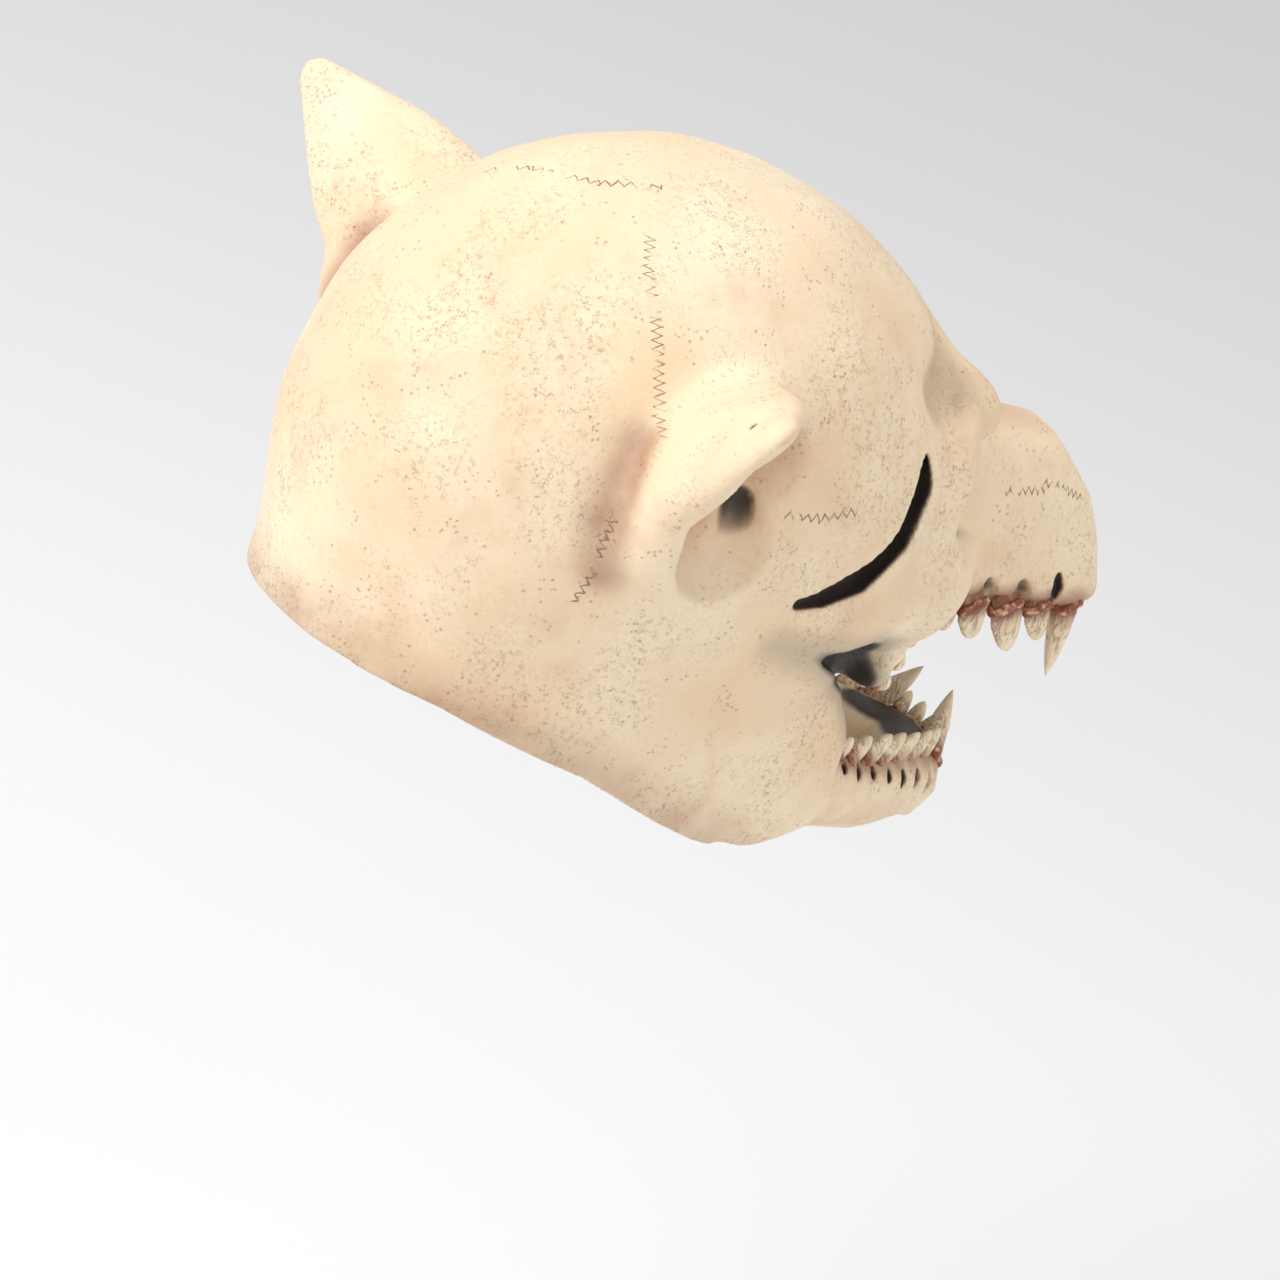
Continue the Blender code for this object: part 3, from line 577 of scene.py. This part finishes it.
def mesh_from(name, places, faces):
    """A mesh from places in millimetres and arrays of equal faces."""
    mesh = bpy.data.meshes.new(name)
    mesh.vertices.add(len(places))
    mesh.vertices.foreach_set("co", (places * MM - (0, 0, CROWN_ABOVE_CENTRE * MM)).astype(np.float32).ravel())
    loops = np.concatenate([f.ravel() for f in faces if len(f)])
    counts = np.concatenate([np.full(len(f), f.shape[1]) for f in faces if len(f)])
    mesh.loops.add(len(loops))
    mesh.loops.foreach_set("vertex_index", loops.astype(np.int32))
    mesh.polygons.add(len(counts))
    mesh.polygons.foreach_set("loop_start", (np.cumsum(counts) - counts).astype(np.int32))
    mesh.update(calc_edges=True)
    mesh.validate()
    mesh.shade_smooth()
    return mesh


def piece_from(name, mesh, nodes=()):
    """An object at the origin that rides on the mask and may stand for nodes, whose parts it hides."""
    made = bpy.data.objects.new(name, mesh)
    bpy.context.collection.objects.link(made)
    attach(made, "root")
    if nodes:
        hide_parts(*nodes)
    return made


def places_of(mesh):
    """The places of a mesh's points in millimetres from the middle of the cranium."""
    co = np.zeros(len(mesh.vertices) * 3)
    mesh.vertices.foreach_get("co", co)
    return co.reshape(-1, 3) / MM + (0, 0, CROWN_ABOVE_CENTRE)


def paint(mesh, name, values):
    """Keeps one number for each point of a mesh."""
    layer = mesh.attributes.new(name, "FLOAT", "POINT")
    layer.data.foreach_set("value", np.clip(values, 0, 1).astype(np.float32))


def thinned(made, most):
    """Thins a mesh to a number of triangles, most where it is flat."""
    made.data.calc_loop_triangles()
    count = len(made.data.loop_triangles)
    if count <= most:
        return
    thin = made.modifiers.new("thin", "DECIMATE")
    thin.ratio = most / count
    evaluated = made.evaluated_get(bpy.context.evaluated_depsgraph_get())
    old = made.data
    made.data = bpy.data.meshes.new_from_object(evaluated)
    made.data.name = old.name
    made.modifiers.clear()
    bpy.data.meshes.remove(old)
    made.data.shade_smooth()


def build_hood():
    """The hood's skin from its field, with the hem, the eye holes and the throat opened."""
    grain = sizes().grain / MM
    field = head_field(grain)
    side, ys, zs = field.axes
    xs = np.concatenate([-side[:0:-1], side])
    low = np.array([xs[0], ys[0], zs[0]])
    body = full_grid(field.d)
    body += lumps(xs[:, None, None], ys[None, :, None], zs[None, None, :]).astype(np.float32)
    shell = np.maximum(body, -(body + sizes().wall / MM))
    shell = smooth_max(shell, full_grid(-above_hem(field.places())), 1.5)
    for opening in (lambda q: chain(q, EYE_HOLE), lambda q: ball(q, THROAT)):
        hole = np.full_like(field.d, 60)
        where, p = field.window((0, -140, -110), (70, -50, 40), 0)
        hole[where] = opening(p)
        shell = smooth_max(shell, -full_grid(hole), 1.5)
    shell = np.pad(np.minimum(shell, 3 * grain), 1, constant_values=3 * grain)
    places, triangles, quads = skin_of(shell, low - grain, grain)
    made = piece_from("skull_hood_skin", mesh_from("skull_hood_skin", places, (triangles, quads)),
                      ("skull_hood",))
    thinned(made, sizes().most_triangles)
    paint_hood(made.data, body, low, grain)
    made.data.materials.append(bone_finish())
    return made


def nearest_tooth(p):
    """Distance from each place to the nearest tooth's neck."""
    near = np.full(len(p), 99.0)
    for tooth in TEETH:
        near = np.minimum(near, np.linalg.norm(p - tooth.middles[1], axis=1) - tooth.half_width)
    return near


def paint_hood(mesh, body, low, grain):
    """Works out where paint and painted light go: hollows at two scales for wash and painted shade, convex edges for a
    painted highlight, red-brown washes with painted shade behind the ear, soot, painted shade in the brow dent and
    round the cheek recess, and the bare inside.
    """
    p = places_of(mesh)
    half = np.abs(p) * (1, 0, 0) + p * (0, 1, 1)
    step = grain
    grad = np.stack([sample(body, low, grain, p + d) - sample(body, low, grain, p - d) for d in np.eye(3) * step], -1)
    normal = grad / np.maximum(np.linalg.norm(grad, axis=1, keepdims=True), 1e-6)
    skin = ease(-2.4, -1.0, sample(body, low, grain, p))
    # How deep a point sits in a hollow at two scales, which darkens the colour as wash and painted shade, and how
    # convex it is, which lightens it as a painted highlight.
    fine = np.clip(1 - sample(body, low, grain, p + normal * 3.5) / 3.5, 0, 1)
    broad = np.clip(1 - sample(body, low, grain, p + normal * 13) / 13, 0, 1)
    edge = np.clip(1 + sample(body, low, grain, p - normal * 4) / 4, 0, 1)
    paint(mesh, "outside", skin)
    paint(mesh, "fine_hollow", fine * skin)
    paint(mesh, "broad_hollow", broad * skin)
    paint(mesh, "edge", edge * skin)
    hem = 1 - ease(0, 26, above_hem(half))
    gum = 1 - ease(0, 6, nearest_tooth(p))
    cup = 1 - ease(-3, 3, ear_cup(half))
    # Red-brown darkening in the crease behind the ear's root: painted shade.
    behind = 1 - ease(0, 12, chain(half, (Knot(86, 62, 40, 3), Knot(90, 70, 12, 5), Knot(90, 68, -2, 3))))
    paint(mesh, "wash", np.maximum.reduce([hem * 0.5, gum, cup * 0.35, behind * 0.8]) * skin)
    groove = 1 - ease(-1.0, 2.5, chain(half, GROOVE))
    recess = 1 - ease(-1.0, 6.0, chain(half, RECESS))
    inner = (1 - ease(0.8, 4.5, mouth(half))) * ease(1.5, 4.5, nearest_tooth(p))
    nose = 1 - ease(-2.0, 1.5, ball(half, NOSE))
    socket = (1 - ease(-1.0, 3.0, ball(half, SOCKET))) * 0.75
    canal = 1 - ease(-1.0, 2.0, chain(half, EAR_CANAL))
    gaps = np.minimum.reduce([chain(half, knots) for knots in ROOT_PITS])
    gaps = 1 - ease(-0.6, 1.8, gaps)
    brow = 1 - ease(0.0, 9.0, chain(half, BROW_DENT))
    paint(mesh, "soot", np.maximum.reduce([groove, recess, inner, nose, socket, canal * 0.8, gaps * 0.9]))
    paint(mesh, "shadow", np.maximum(brow * 0.7, 1 - ease(2.0, 12.0, chain(half, RECESS))))


class Wire:
    """A number in a finish's node tree: Python's arithmetic on it adds Math nodes."""

    def __init__(self, finish, socket):
        self.finish = finish
        self.socket = socket

    def maths(self, operation, *values):
        return self.finish.node("ShaderNodeMath", {"operation": operation}, dict(enumerate(values)))

    def __add__(self, other):
        return self.maths("ADD", self, other)

    def __radd__(self, other):
        return self.maths("ADD", other, self)

    def __sub__(self, other):
        return self.maths("SUBTRACT", self, other)

    def __rsub__(self, other):
        return self.maths("SUBTRACT", other, self)

    def __mul__(self, other):
        return self.maths("MULTIPLY", self, other)

    def __rmul__(self, other):
        return self.maths("MULTIPLY", other, self)

    def __truediv__(self, other):
        return self.maths("DIVIDE", self, other)

    def __pow__(self, other):
        return self.maths("POWER", self, other)

    def size(self):
        return self.maths("ABSOLUTE", self)

    def most(self, other):
        return self.maths("MAXIMUM", self, other)

    def least(self, other):
        return self.maths("MINIMUM", self, other)

    def step(self, low, high, start=0.0, end=1.0):
        """A soft step from start at low to end at high."""
        return self.finish.node(
            "ShaderNodeMapRange", {"interpolation_type": "SMOOTHSTEP"},
            {"Value": self, "From Min": low, "From Max": high, "To Min": start, "To Max": end})


class Finish:
    """A material under construction around one Principled shader."""

    def __init__(self, name):
        self.material = bpy.data.materials.new(name)
        self.material.use_nodes = True
        self.tree = self.material.node_tree
        self.shader = self.tree.nodes["Principled BSDF"]

    def node(self, kind, settings=None, sockets=None, out=0):
        """Adds a node: its settings first, then its sockets' values or links; gives one output."""
        made = self.tree.nodes.new(kind)
        for key, value in (settings or {}).items():
            setattr(made, key, value)
        for key, value in (sockets or {}).items():
            self.feed(made.inputs[key], value)
        return Wire(self, made.outputs[out])

    def feed(self, socket, value):
        if isinstance(value, Wire):
            self.tree.links.new(value.socket, socket)
        elif hasattr(socket.default_value, "__len__") and len(socket.default_value) == 4 and len(value) == 3:
            socket.default_value = (*value, 1.0)
        else:
            socket.default_value = value

    def place(self):
        """Object coordinates in metres."""
        return self.node("ShaderNodeTexCoord", out="Object")

    def attribute(self, name):
        return self.node("ShaderNodeAttribute", {"attribute_name": name}, out="Fac")

    def noise(self, vector, scale, detail=2.0, rough=0.5, warp=0.0):
        return self.node("ShaderNodeTexNoise", None, {"Vector": vector, "Scale": scale, "Detail": detail,
                                                      "Roughness": rough, "Distortion": warp})

    def cells(self, vector, scale, feature="F1", spread=1.0):
        return self.node("ShaderNodeTexVoronoi", {"feature": feature}, {"Vector": vector, "Scale": scale,
                                                                       "Randomness": spread}, out="Distance")

    def stretched(self, vector, scale, turn=(0, 0, 0)):
        return self.node("ShaderNodeMapping", None, {"Vector": vector, "Scale": scale, "Rotation": turn})

    def mix(self, share, first, second, blend="MIX"):
        """Two colours mixed by a share."""
        mixed = self.tree.nodes.new("ShaderNodeMix")
        mixed.data_type = "RGBA"
        mixed.blend_type = blend
        self.feed(mixed.inputs[0], share)
        self.feed(mixed.inputs[6], first)
        self.feed(mixed.inputs[7], second)
        return Wire(self, mixed.outputs[2])

    def bump(self, height, strength, distance, normal=None):
        sockets = {"Height": height, "Strength": strength, "Distance": distance}
        if normal is not None:
            sockets["Normal"] = normal
        return self.node("ShaderNodeBump", None, sockets)

    def done(self, **sockets):
        """Feeds the shader and gives the material."""
        for key, value in sockets.items():
            self.feed(self.shader.inputs[key.replace("_", " ").title()], value)
        return self.material


def wrinkles(finish, place):
    """Short fine creases in patches: the thin zero lines of a warped noise, kept where a slow noise is high."""
    field = finish.noise(place, 330.0, 2.0, 0.6, 1.2)
    line = (field - 0.5).size().step(0.0, 0.035, 1.0, 0.0)
    broken = finish.noise(place, 420.0, 1.0).step(0.46, 0.60)
    patch = finish.noise(place, 26.0, 2.0).step(0.40, 0.62)
    return line * broken * patch


def pits(finish, place):
    """Pinholes of the casting: small cells, some of them deep."""
    cell = finish.cells(place, 420.0)
    depth = cell.step(0.10, 0.34, 1.0, 0.0)
    kept = finish.noise(place, 90.0, 2.0).step(0.50, 0.64)
    return depth * kept


def seam_line(finish, place, seam):
    """A jagged seam: the height of a triangle wave across each straight stretch of it, with ragged ends."""
    total = None
    for start, end in zip(seam.points, seam.points[1:]):
        a = Vector(start) * MM - Vector((0, 0, CROWN_ABOVE_CENTRE * MM))
        b = Vector(end) * MM - Vector((0, 0, CROWN_ABOVE_CENTRE * MM))
        along = (b - a).normalized()
        side = Vector(start).cross(along).normalized()
        outward = along.cross(side)
        turn = Matrix((along, side, outward)).to_euler()
        middle = (a + b) / 2
        moved = finish.node("ShaderNodeVectorMath", {"operation": "SUBTRACT"}, {0: place, 1: middle})
        local = finish.node("ShaderNodeMapping", None, {"Vector": moved, "Rotation": turn})
        split = finish.node("ShaderNodeSeparateXYZ", None, {0: local}, out="X")
        x, y, z = [Wire(finish, split.socket.node.outputs[k]) for k in "XYZ"]
        reach = (b - a).length / 2
        wave = (x / (seam.step * MM)).maths("PINGPONG", x / (seam.step * MM), 0.5) * 4.0 - 1.0
        rough = finish.noise(place, 600.0, 1.0) * 0.0018 - 0.0009
        gap = (y + rough - wave * (seam.swing * MM * 0.5)).size()
        line = gap.step(0.00020, 0.00065, 1.0, 0.0)
        inside = x.size().step(reach, reach + 0.0012, 1.0, 0.0) * z.size().step(0.012, 0.016, 1.0, 0.0)
        part = line * inside
        total = part if total is None else total.most(part)
    return total


def bone_finish():
    """Cast latex painted as old bone: clouds of blush, wash and painted shade in hollows, a painted highlight on edges,
    painted shade over the brow, soot in recesses, seams and pits.
    """
    tint = colours()
    finish = Finish("painted_bone_latex")
    place = finish.place()
    outside = finish.attribute("outside")
    fine = finish.attribute("fine_hollow")
    broad = finish.attribute("broad_hollow")
    edge = finish.attribute("edge")
    wash = finish.attribute("wash")
    soot = finish.attribute("soot")
    cloud = finish.noise(place, 14.0, 3.0, 0.55)
    drift = finish.noise(place, 38.0, 3.0, 0.6)
    grit = finish.noise(place, 700.0, 2.0, 0.6)
    crease = wrinkles(finish, place)
    hole = pits(finish, place)
    seam = None
    for spec in SEAMS:
        line = seam_line(finish, place, spec)
        seam = line if seam is None else seam.most(line)
    seam = seam * finish.noise(place, 160.0, 1.0).step(0.36, 0.52)
    colour = finish.mix(cloud.step(0.36, 0.66) * 0.8, tint.bone, tint.pale)
    colour = finish.mix(drift.step(0.50, 0.74) * 0.30, colour, tint.blush)
    # Painted highlight: paler bone on convex edges.
    colour = finish.mix(edge * 0.35, colour, tint.pale)
    # Painted shade with the wash: blush and umber darken the hollows at two scales.
    colour = finish.mix((broad.step(0.30, 0.95) * 0.55 + fine.step(0.25, 0.9) * 0.45).least(0.8), colour, tint.blush)
    colour = finish.mix((fine.step(0.45, 1.0) * 0.6), colour, tint.umber)
    # Red-brown wash round the gums, at the hem and in the ear's cup, with painted shade behind the ear's root.
    colour = finish.mix((wash * (drift * 0.9 + 0.25)).least(0.9), colour, tint.wash)
    colour = finish.mix(crease * 0.42 + hole * 0.40, colour, tint.umber)
    colour = finish.mix(seam * 0.85, colour, tint.umber)
    colour = finish.mix((grit - 0.5) * 0.5 + 0.06, colour, tint.blush)
    # Painted shade in grey-brown over the brow dent and round the cheek recess.
    shadow = finish.attribute("shadow")
    colour = finish.mix(shadow * (cloud * 0.5 + 0.35), colour, tint.dusk)
    ragged = (soot + (drift - 0.5) * 0.35).step(0.22, 0.80)
    colour = finish.mix(ragged * 0.95, colour, tint.soot)
    colour = finish.mix(outside, tint.lining, colour)
    height = crease * -0.8 + hole * -1.0 + seam * -1.3 + grit * 0.25
    soft = finish.bump(finish.noise(place, 120.0, 3.0, 0.6), 0.35, 0.0012)
    normal = finish.bump(height, 0.55, 0.0006, soft)
    rough = drift * 0.16 + 0.40 + crease * 0.1
    finish.shader.inputs["Specular IOR Level"].default_value = 0.42
    finish.shader.inputs["Subsurface Weight"].default_value = 0.06
    finish.shader.inputs["Subsurface Radius"].default_value = (0.004, 0.002, 0.001)
    return finish.done(base_color=colour, roughness=rough, normal=normal)


def tooth_surface(tooth):
    """One tooth as rings along its axis: the radius falls to the point by a power, with a swollen neck and ribs.

    Height runs from the foot of the root to the tip and the angle runs once round; a molar or premolar
    is blunter and has small shoulders before and behind its point.
    """
    sharp = "canine" in tooth.name or "incisor_3" in tooth.name
    around, along = (36, 34)
    u = np.linspace(0, 2 * math.pi, around, endpoint=False)[None, :]
    v = np.concatenate([np.linspace(-1, 0, 6, endpoint=False), 1 - (1 - np.linspace(0, 1, along - 6)) ** 1.5])[:, None]
    crown = np.clip(v, 0, 1)
    taper = (1 - crown ** 1.9) ** 0.80 if sharp else (1 - crown ** 3.0) ** 0.62
    taper = np.maximum(taper, 0.03)
    foot = np.clip(-v, 0, 1)
    radius = np.where(v < 0, 1 - 0.30 * foot, taper) * (1 + 0.07 * np.exp(-((crown - 0.10) / 0.07) ** 2) * (v > 0))
    ribs = 1 - 0.055 * np.exp(-((np.sin(1.5 * u + 0.6)) / 0.22) ** 2) * np.clip(1 - crown * 1.15, 0, 1) * (v > -0.2)
    radius = radius * ribs
    wide = np.cos(u) * radius * tooth.half_width
    deep = np.sin(u) * radius * tooth.half_thickness
    if not sharp:
        wide = wide * (1 + 0.10 * np.exp(-((crown - 0.32) / 0.16) ** 2))
        deep = deep * (1 - 0.18 * crown)
    middle = tooth.middle(v[:, 0])
    places = middle[:, None, :] + wide[..., None] * tooth.across + deep[..., None] * tooth.through
    tip = middle[-1] + tooth.axis * 0.25
    foot_point = middle[0]
    return places, np.array([foot_point, tip]), np.broadcast_to(v, radius.shape)


def closed_rings(places, poles):
    """Points and quads of a tube of rings, with a fan of triangles to a pole at each end."""
    rows, columns = places.shape[:2]
    i, j = np.meshgrid(np.arange(rows - 1), np.arange(columns), indexing="ij")
    k = (j + 1) % columns
    quads = np.stack([i * columns + j, i * columns + k, (i + 1) * columns + k, (i + 1) * columns + j], -1).reshape(-1, 4)
    j = np.arange(columns)
    k = (j + 1) % columns
    first = rows * columns
    low = np.stack([np.full(columns, first), k, j], -1)
    high = np.stack([np.full(columns, first + 1), (rows - 1) * columns + j, (rows - 1) * columns + k], -1)
    return np.concatenate([places.reshape(-1, 3), poles]), quads, np.concatenate([low, high])


def build_tooth(tooth, finish):
    """One tooth's mesh in place of its node, with its height and a shade for its foot kept on its points."""
    places, poles, height = tooth_surface(tooth)
    points, quads, fans = closed_rings(places, poles)
    if np.dot(np.cross(tooth.across, tooth.through), tooth.axis) < 0:
        quads, fans = quads[:, ::-1], fans[:, ::-1]
    mesh = mesh_from(tooth.name + "_crown", points - (0, 0, 0), (quads, fans))
    paint(mesh, "height", np.concatenate([np.clip(height.ravel(), 0, 1), [0, 1]]))
    mesh.materials.append(finish)
    return piece_from(tooth.name + "_crown", mesh, (tooth.name,))


def tooth_finish():
    """Painted ivory: pale at the point, red-brown at the gum and in long streaks, faintly glossy."""
    tint = colours()
    finish = Finish("painted_ivory_latex")
    place = finish.place()
    height = finish.attribute("height")
    long = finish.stretched(place, (1.0, 1.0, 0.16))
    streak = finish.noise(long, 420.0, 2.0, 0.6, 0.6)
    cloud = finish.noise(place, 130.0, 2.0)
    grit = finish.noise(place, 900.0, 2.0)
    foot = height.step(0.0, 0.55, 1.0, 0.0)
    line = (streak - 0.5).size().step(0.0, 0.05, 1.0, 0.0) * height.step(0.45, 0.85, 1.0, 0.15)
    colour = finish.mix(cloud.step(0.4, 0.62), tint.ivory, tint.pale)
    colour = finish.mix((foot * foot * (cloud * 1.5 + 0.2)).least(0.92), colour, tint.wash)
    colour = finish.mix((line * 0.62), colour, tint.wash)
    colour = finish.mix(grit.step(0.56, 0.72) * 0.2, colour, tint.umber)
    normal = finish.bump(line * -1.0 + grit * 0.2, 0.45, 0.0005)
    finish.shader.inputs["Specular IOR Level"].default_value = 0.5
    return finish.done(base_color=colour, roughness=cloud * 0.2 + 0.26, normal=normal)


def rim_surface(tooth, radius):
    """The gum's rim round one tooth: a round profile carried along the neck's ellipse, which dips between teeth."""
    u = np.linspace(0, 2 * math.pi, 48, endpoint=False)
    w = np.linspace(0, 2 * math.pi, 12, endpoint=False)
    dip = 1.1 * np.cos(2 * u) - 0.2
    out = np.cos(u)[:, None] * tooth.across + np.sin(u)[:, None] * tooth.through
    path = (tooth.middles[1] + np.cos(u)[:, None] * tooth.across * (tooth.half_width + 0.2)
            + np.sin(u)[:, None] * tooth.through * (tooth.half_thickness + 0.2) + dip[:, None] * tooth.axis)
    thick = radius * (1 + 0.18 * np.sin(5 * u + tooth.middles[1][1]))
    places = (path[:, None, :] + (thick[:, None] * np.cos(w))[..., None] * out[:, None, :]
              + (thick[:, None] * 1.25 * np.sin(w))[..., None] * tooth.axis)
    rows, columns = places.shape[:2]
    i, j = np.meshgrid(np.arange(rows), np.arange(columns), indexing="ij")
    a, b = (i + 1) % rows, (j + 1) % columns
    quads = np.stack([i * columns + j, a * columns + j, a * columns + b, i * columns + b], -1).reshape(-1, 4)
    return places.reshape(-1, 3), quads


def gum_finish():
    """Wet red-brown gum with bone-coloured paint rubbed over its high places."""
    tint = colours()
    finish = Finish("painted_gum_latex")
    place = finish.place()
    cloud = finish.noise(place, 260.0, 3.0, 0.6)
    vein = finish.noise(place, 650.0, 2.0)
    colour = finish.mix(cloud.step(0.44, 0.66), tint.wash, tint.blush)
    colour = finish.mix(cloud.step(0.58, 0.74) * 0.8, colour, tint.bone)
    normal = finish.bump(cloud + vein * 0.4, 0.5, 0.0007)
    return finish.done(base_color=colour, roughness=vein * 0.2 + 0.24, normal=normal)


def build_rims(jaw, finish):
    """The rims of one jaw's teeth as one mesh."""
    points, faces, count = [], [], 0
    for tooth in TEETH:
        if tooth.name.startswith(jaw):
            places, quads = rim_surface(tooth, sizes().rim / MM)
            points.append(places)
            faces.append(quads + count)
            count += len(places)
    mesh = mesh_from(jaw + "_gum_rims", np.concatenate(points), (np.concatenate(faces),))
    mesh.materials.append(finish)
    return piece_from(jaw + "_gum_rims", mesh)


def studio_finish(name, colour):
    """Matt paper of the studio, with a faint cloud in it."""
    finish = Finish(name)
    cloud = finish.noise(finish.place(), 1.5, 2.0)
    tone = finish.mix(cloud * 0.5, colour, tuple(c * 0.98 for c in colour))
    return finish.done(base_color=tone, roughness=0.8)


def build_floor():
    """A wide level floor below the hem."""
    hem = CAD_BOX[0].z
    floor = bpy.data.objects.new("studio_floor", bpy.data.meshes.new("studio_floor"))
    reach = 30.0
    z = hem - bpy.context.scene.skull_stage.floor_drop
    corners = [(-reach, -reach, z), (reach, -reach, z), (reach, reach, z), (-reach, reach, z)]
    floor.data.from_pydata(corners, [], [(0, 1, 2, 3)])
    floor.data.materials.append(studio_finish("pale_paper", (0.86, 0.86, 0.86)))
    bpy.context.collection.objects.link(floor)


def camera_axes():
    """The directions from the mask to the camera, to the right of the picture and up it."""
    stage = bpy.context.scene.skull_stage
    a, e = stage.azimuth, stage.elevation
    back = Vector((math.sin(a) * math.cos(e), -math.cos(a) * math.cos(e), math.sin(e)))
    right = Vector((0, 0, 1)).cross(back).normalized()
    up = back.cross(right)
    c, s = math.cos(stage.roll), math.sin(stage.roll)
    return back, right * c + up * s, up * c - right * s


def build_camera():
    """The camera at the picture's angle, aimed a little under the cranium, with its tilt."""
    stage = bpy.context.scene.skull_stage
    back, right, up = camera_axes()
    middle = Vector((0, 0, -CROWN_ABOVE_CENTRE * MM))
    place = middle + back * stage.distance
    aim = middle + right * 0.0082 - up * 0.070
    look = (place - aim).normalized()
    side = up.cross(look).normalized()
    data = bpy.data.cameras.new("camera")
    data.lens = stage.lens
    data.sensor_width = 36.0
    camera = bpy.data.objects.new("camera", data)
    camera.matrix_world = Matrix.Translation(place) @ Matrix((side, look.cross(side), look)).transposed().to_4x4()
    bpy.context.collection.objects.link(camera)
    bpy.context.scene.camera = camera
    return back, right, up


def build_light(name, towards, distance, size, power, colour=(1, 1, 1)):
    """A square soft light that faces the mask."""
    data = bpy.data.lights.new(name, "AREA")
    data.size = size
    data.energy = power
    data.color = colour
    lamp = bpy.data.objects.new(name, data)
    middle = Vector((0, -0.03, -CROWN_ABOVE_CENTRE * MM))
    lamp.location = middle + towards.normalized() * distance
    lamp.rotation_mode = "QUATERNION"
    lamp.rotation_quaternion = towards.to_track_quat("Z", "Y")
    bpy.context.collection.objects.link(lamp)


def build_world(strength):
    """Plain white surroundings."""
    world = bpy.data.worlds.new("studio")
    world.use_nodes = True
    world.node_tree.nodes["Background"].inputs["Color"].default_value = (1, 1, 1, 1)
    world.node_tree.nodes["Background"].inputs["Strength"].default_value = strength
    bpy.context.scene.world = world


class SKULLMASK_OT_hood(bpy.types.Operator):
    """Cast the hood and paint it"""
    bl_idname = "skull_mask.hood"
    bl_label = "Cast the hood"

    def execute(self, context):
        build_hood()
        return {"FINISHED"}


class SKULLMASK_OT_teeth(bpy.types.Operator):
    """Set the teeth of both jaws in their seats"""
    bl_idname = "skull_mask.teeth"
    bl_label = "Set the teeth"

    def execute(self, context):
        finish = tooth_finish()
        for tooth in TEETH:
            build_tooth(tooth, finish)
        return {"FINISHED"}


class SKULLMASK_OT_gums(bpy.types.Operator):
    """Lay the gum's rim round every tooth"""
    bl_idname = "skull_mask.gums"
    bl_label = "Lay the gum rims"

    def execute(self, context):
        finish = gum_finish()
        for jaw in ("upper", "lower"):
            build_rims(jaw, finish)
        return {"FINISHED"}


class SKULLMASK_OT_stage(bpy.types.Operator):
    """Set the floor, the soft lights and the camera"""
    bl_idname = "skull_mask.stage"
    bl_label = "Set the studio"

    def execute(self, context):
        build_floor()
        back, right, up = build_camera()
        build_light("key", back + up * 1.1 - right * 1.0, 1.9, 1.1, 27)
        build_light("fill", back + right * 1.3 + up * 0.2, 2.2, 1.4, 9)
        build_light("top", Vector((0, 0, 1)) - back * 0.3, 2.0, 1.2, 9)
        build_world(0.62)
        context.scene.view_settings.view_transform = "Standard"
        return {"FINISHED"}


OPERATORS = (SKULLMASK_OT_hood, SKULLMASK_OT_teeth, SKULLMASK_OT_gums, SKULLMASK_OT_stage)
GROUPS = {"skull_sizes": SkullSizes, "skull_colours": SkullColours, "skull_stage": SkullStage}


class SKULLMASK_PT_panel(bpy.types.Panel):
    """Lists the mask's pieces and its studio"""
    bl_label = "Skull mask"
    bl_idname = "SKULLMASK_PT_panel"
    bl_space_type = "VIEW_3D"
    bl_region_type = "UI"
    bl_category = "Skull mask"

    def draw(self, context):
        for operator in OPERATORS:
            self.layout.operator(operator.bl_idname)
        for name, group in GROUPS.items():
            box = self.layout.box()
            for key in group.__annotations__:
                box.prop(getattr(context.scene, name), key)


def register():
    for group in GROUPS.values():
        bpy.utils.register_class(group)
    for name, group in GROUPS.items():
        setattr(bpy.types.Scene, name, PointerProperty(type=group))
    for operator in OPERATORS:
        bpy.utils.register_class(operator)
    bpy.utils.register_class(SKULLMASK_PT_panel)


def unregister():
    bpy.utils.unregister_class(SKULLMASK_PT_panel)
    for operator in reversed(OPERATORS):
        bpy.utils.unregister_class(operator)
    for name, group in GROUPS.items():
        delattr(bpy.types.Scene, name)
        bpy.utils.unregister_class(group)


def main():
    register()
    bpy.ops.skull_mask.hood()
    bpy.ops.skull_mask.teeth()
    bpy.ops.skull_mask.gums()
    bpy.ops.skull_mask.stage()


if __name__ == "__main__":
    main()
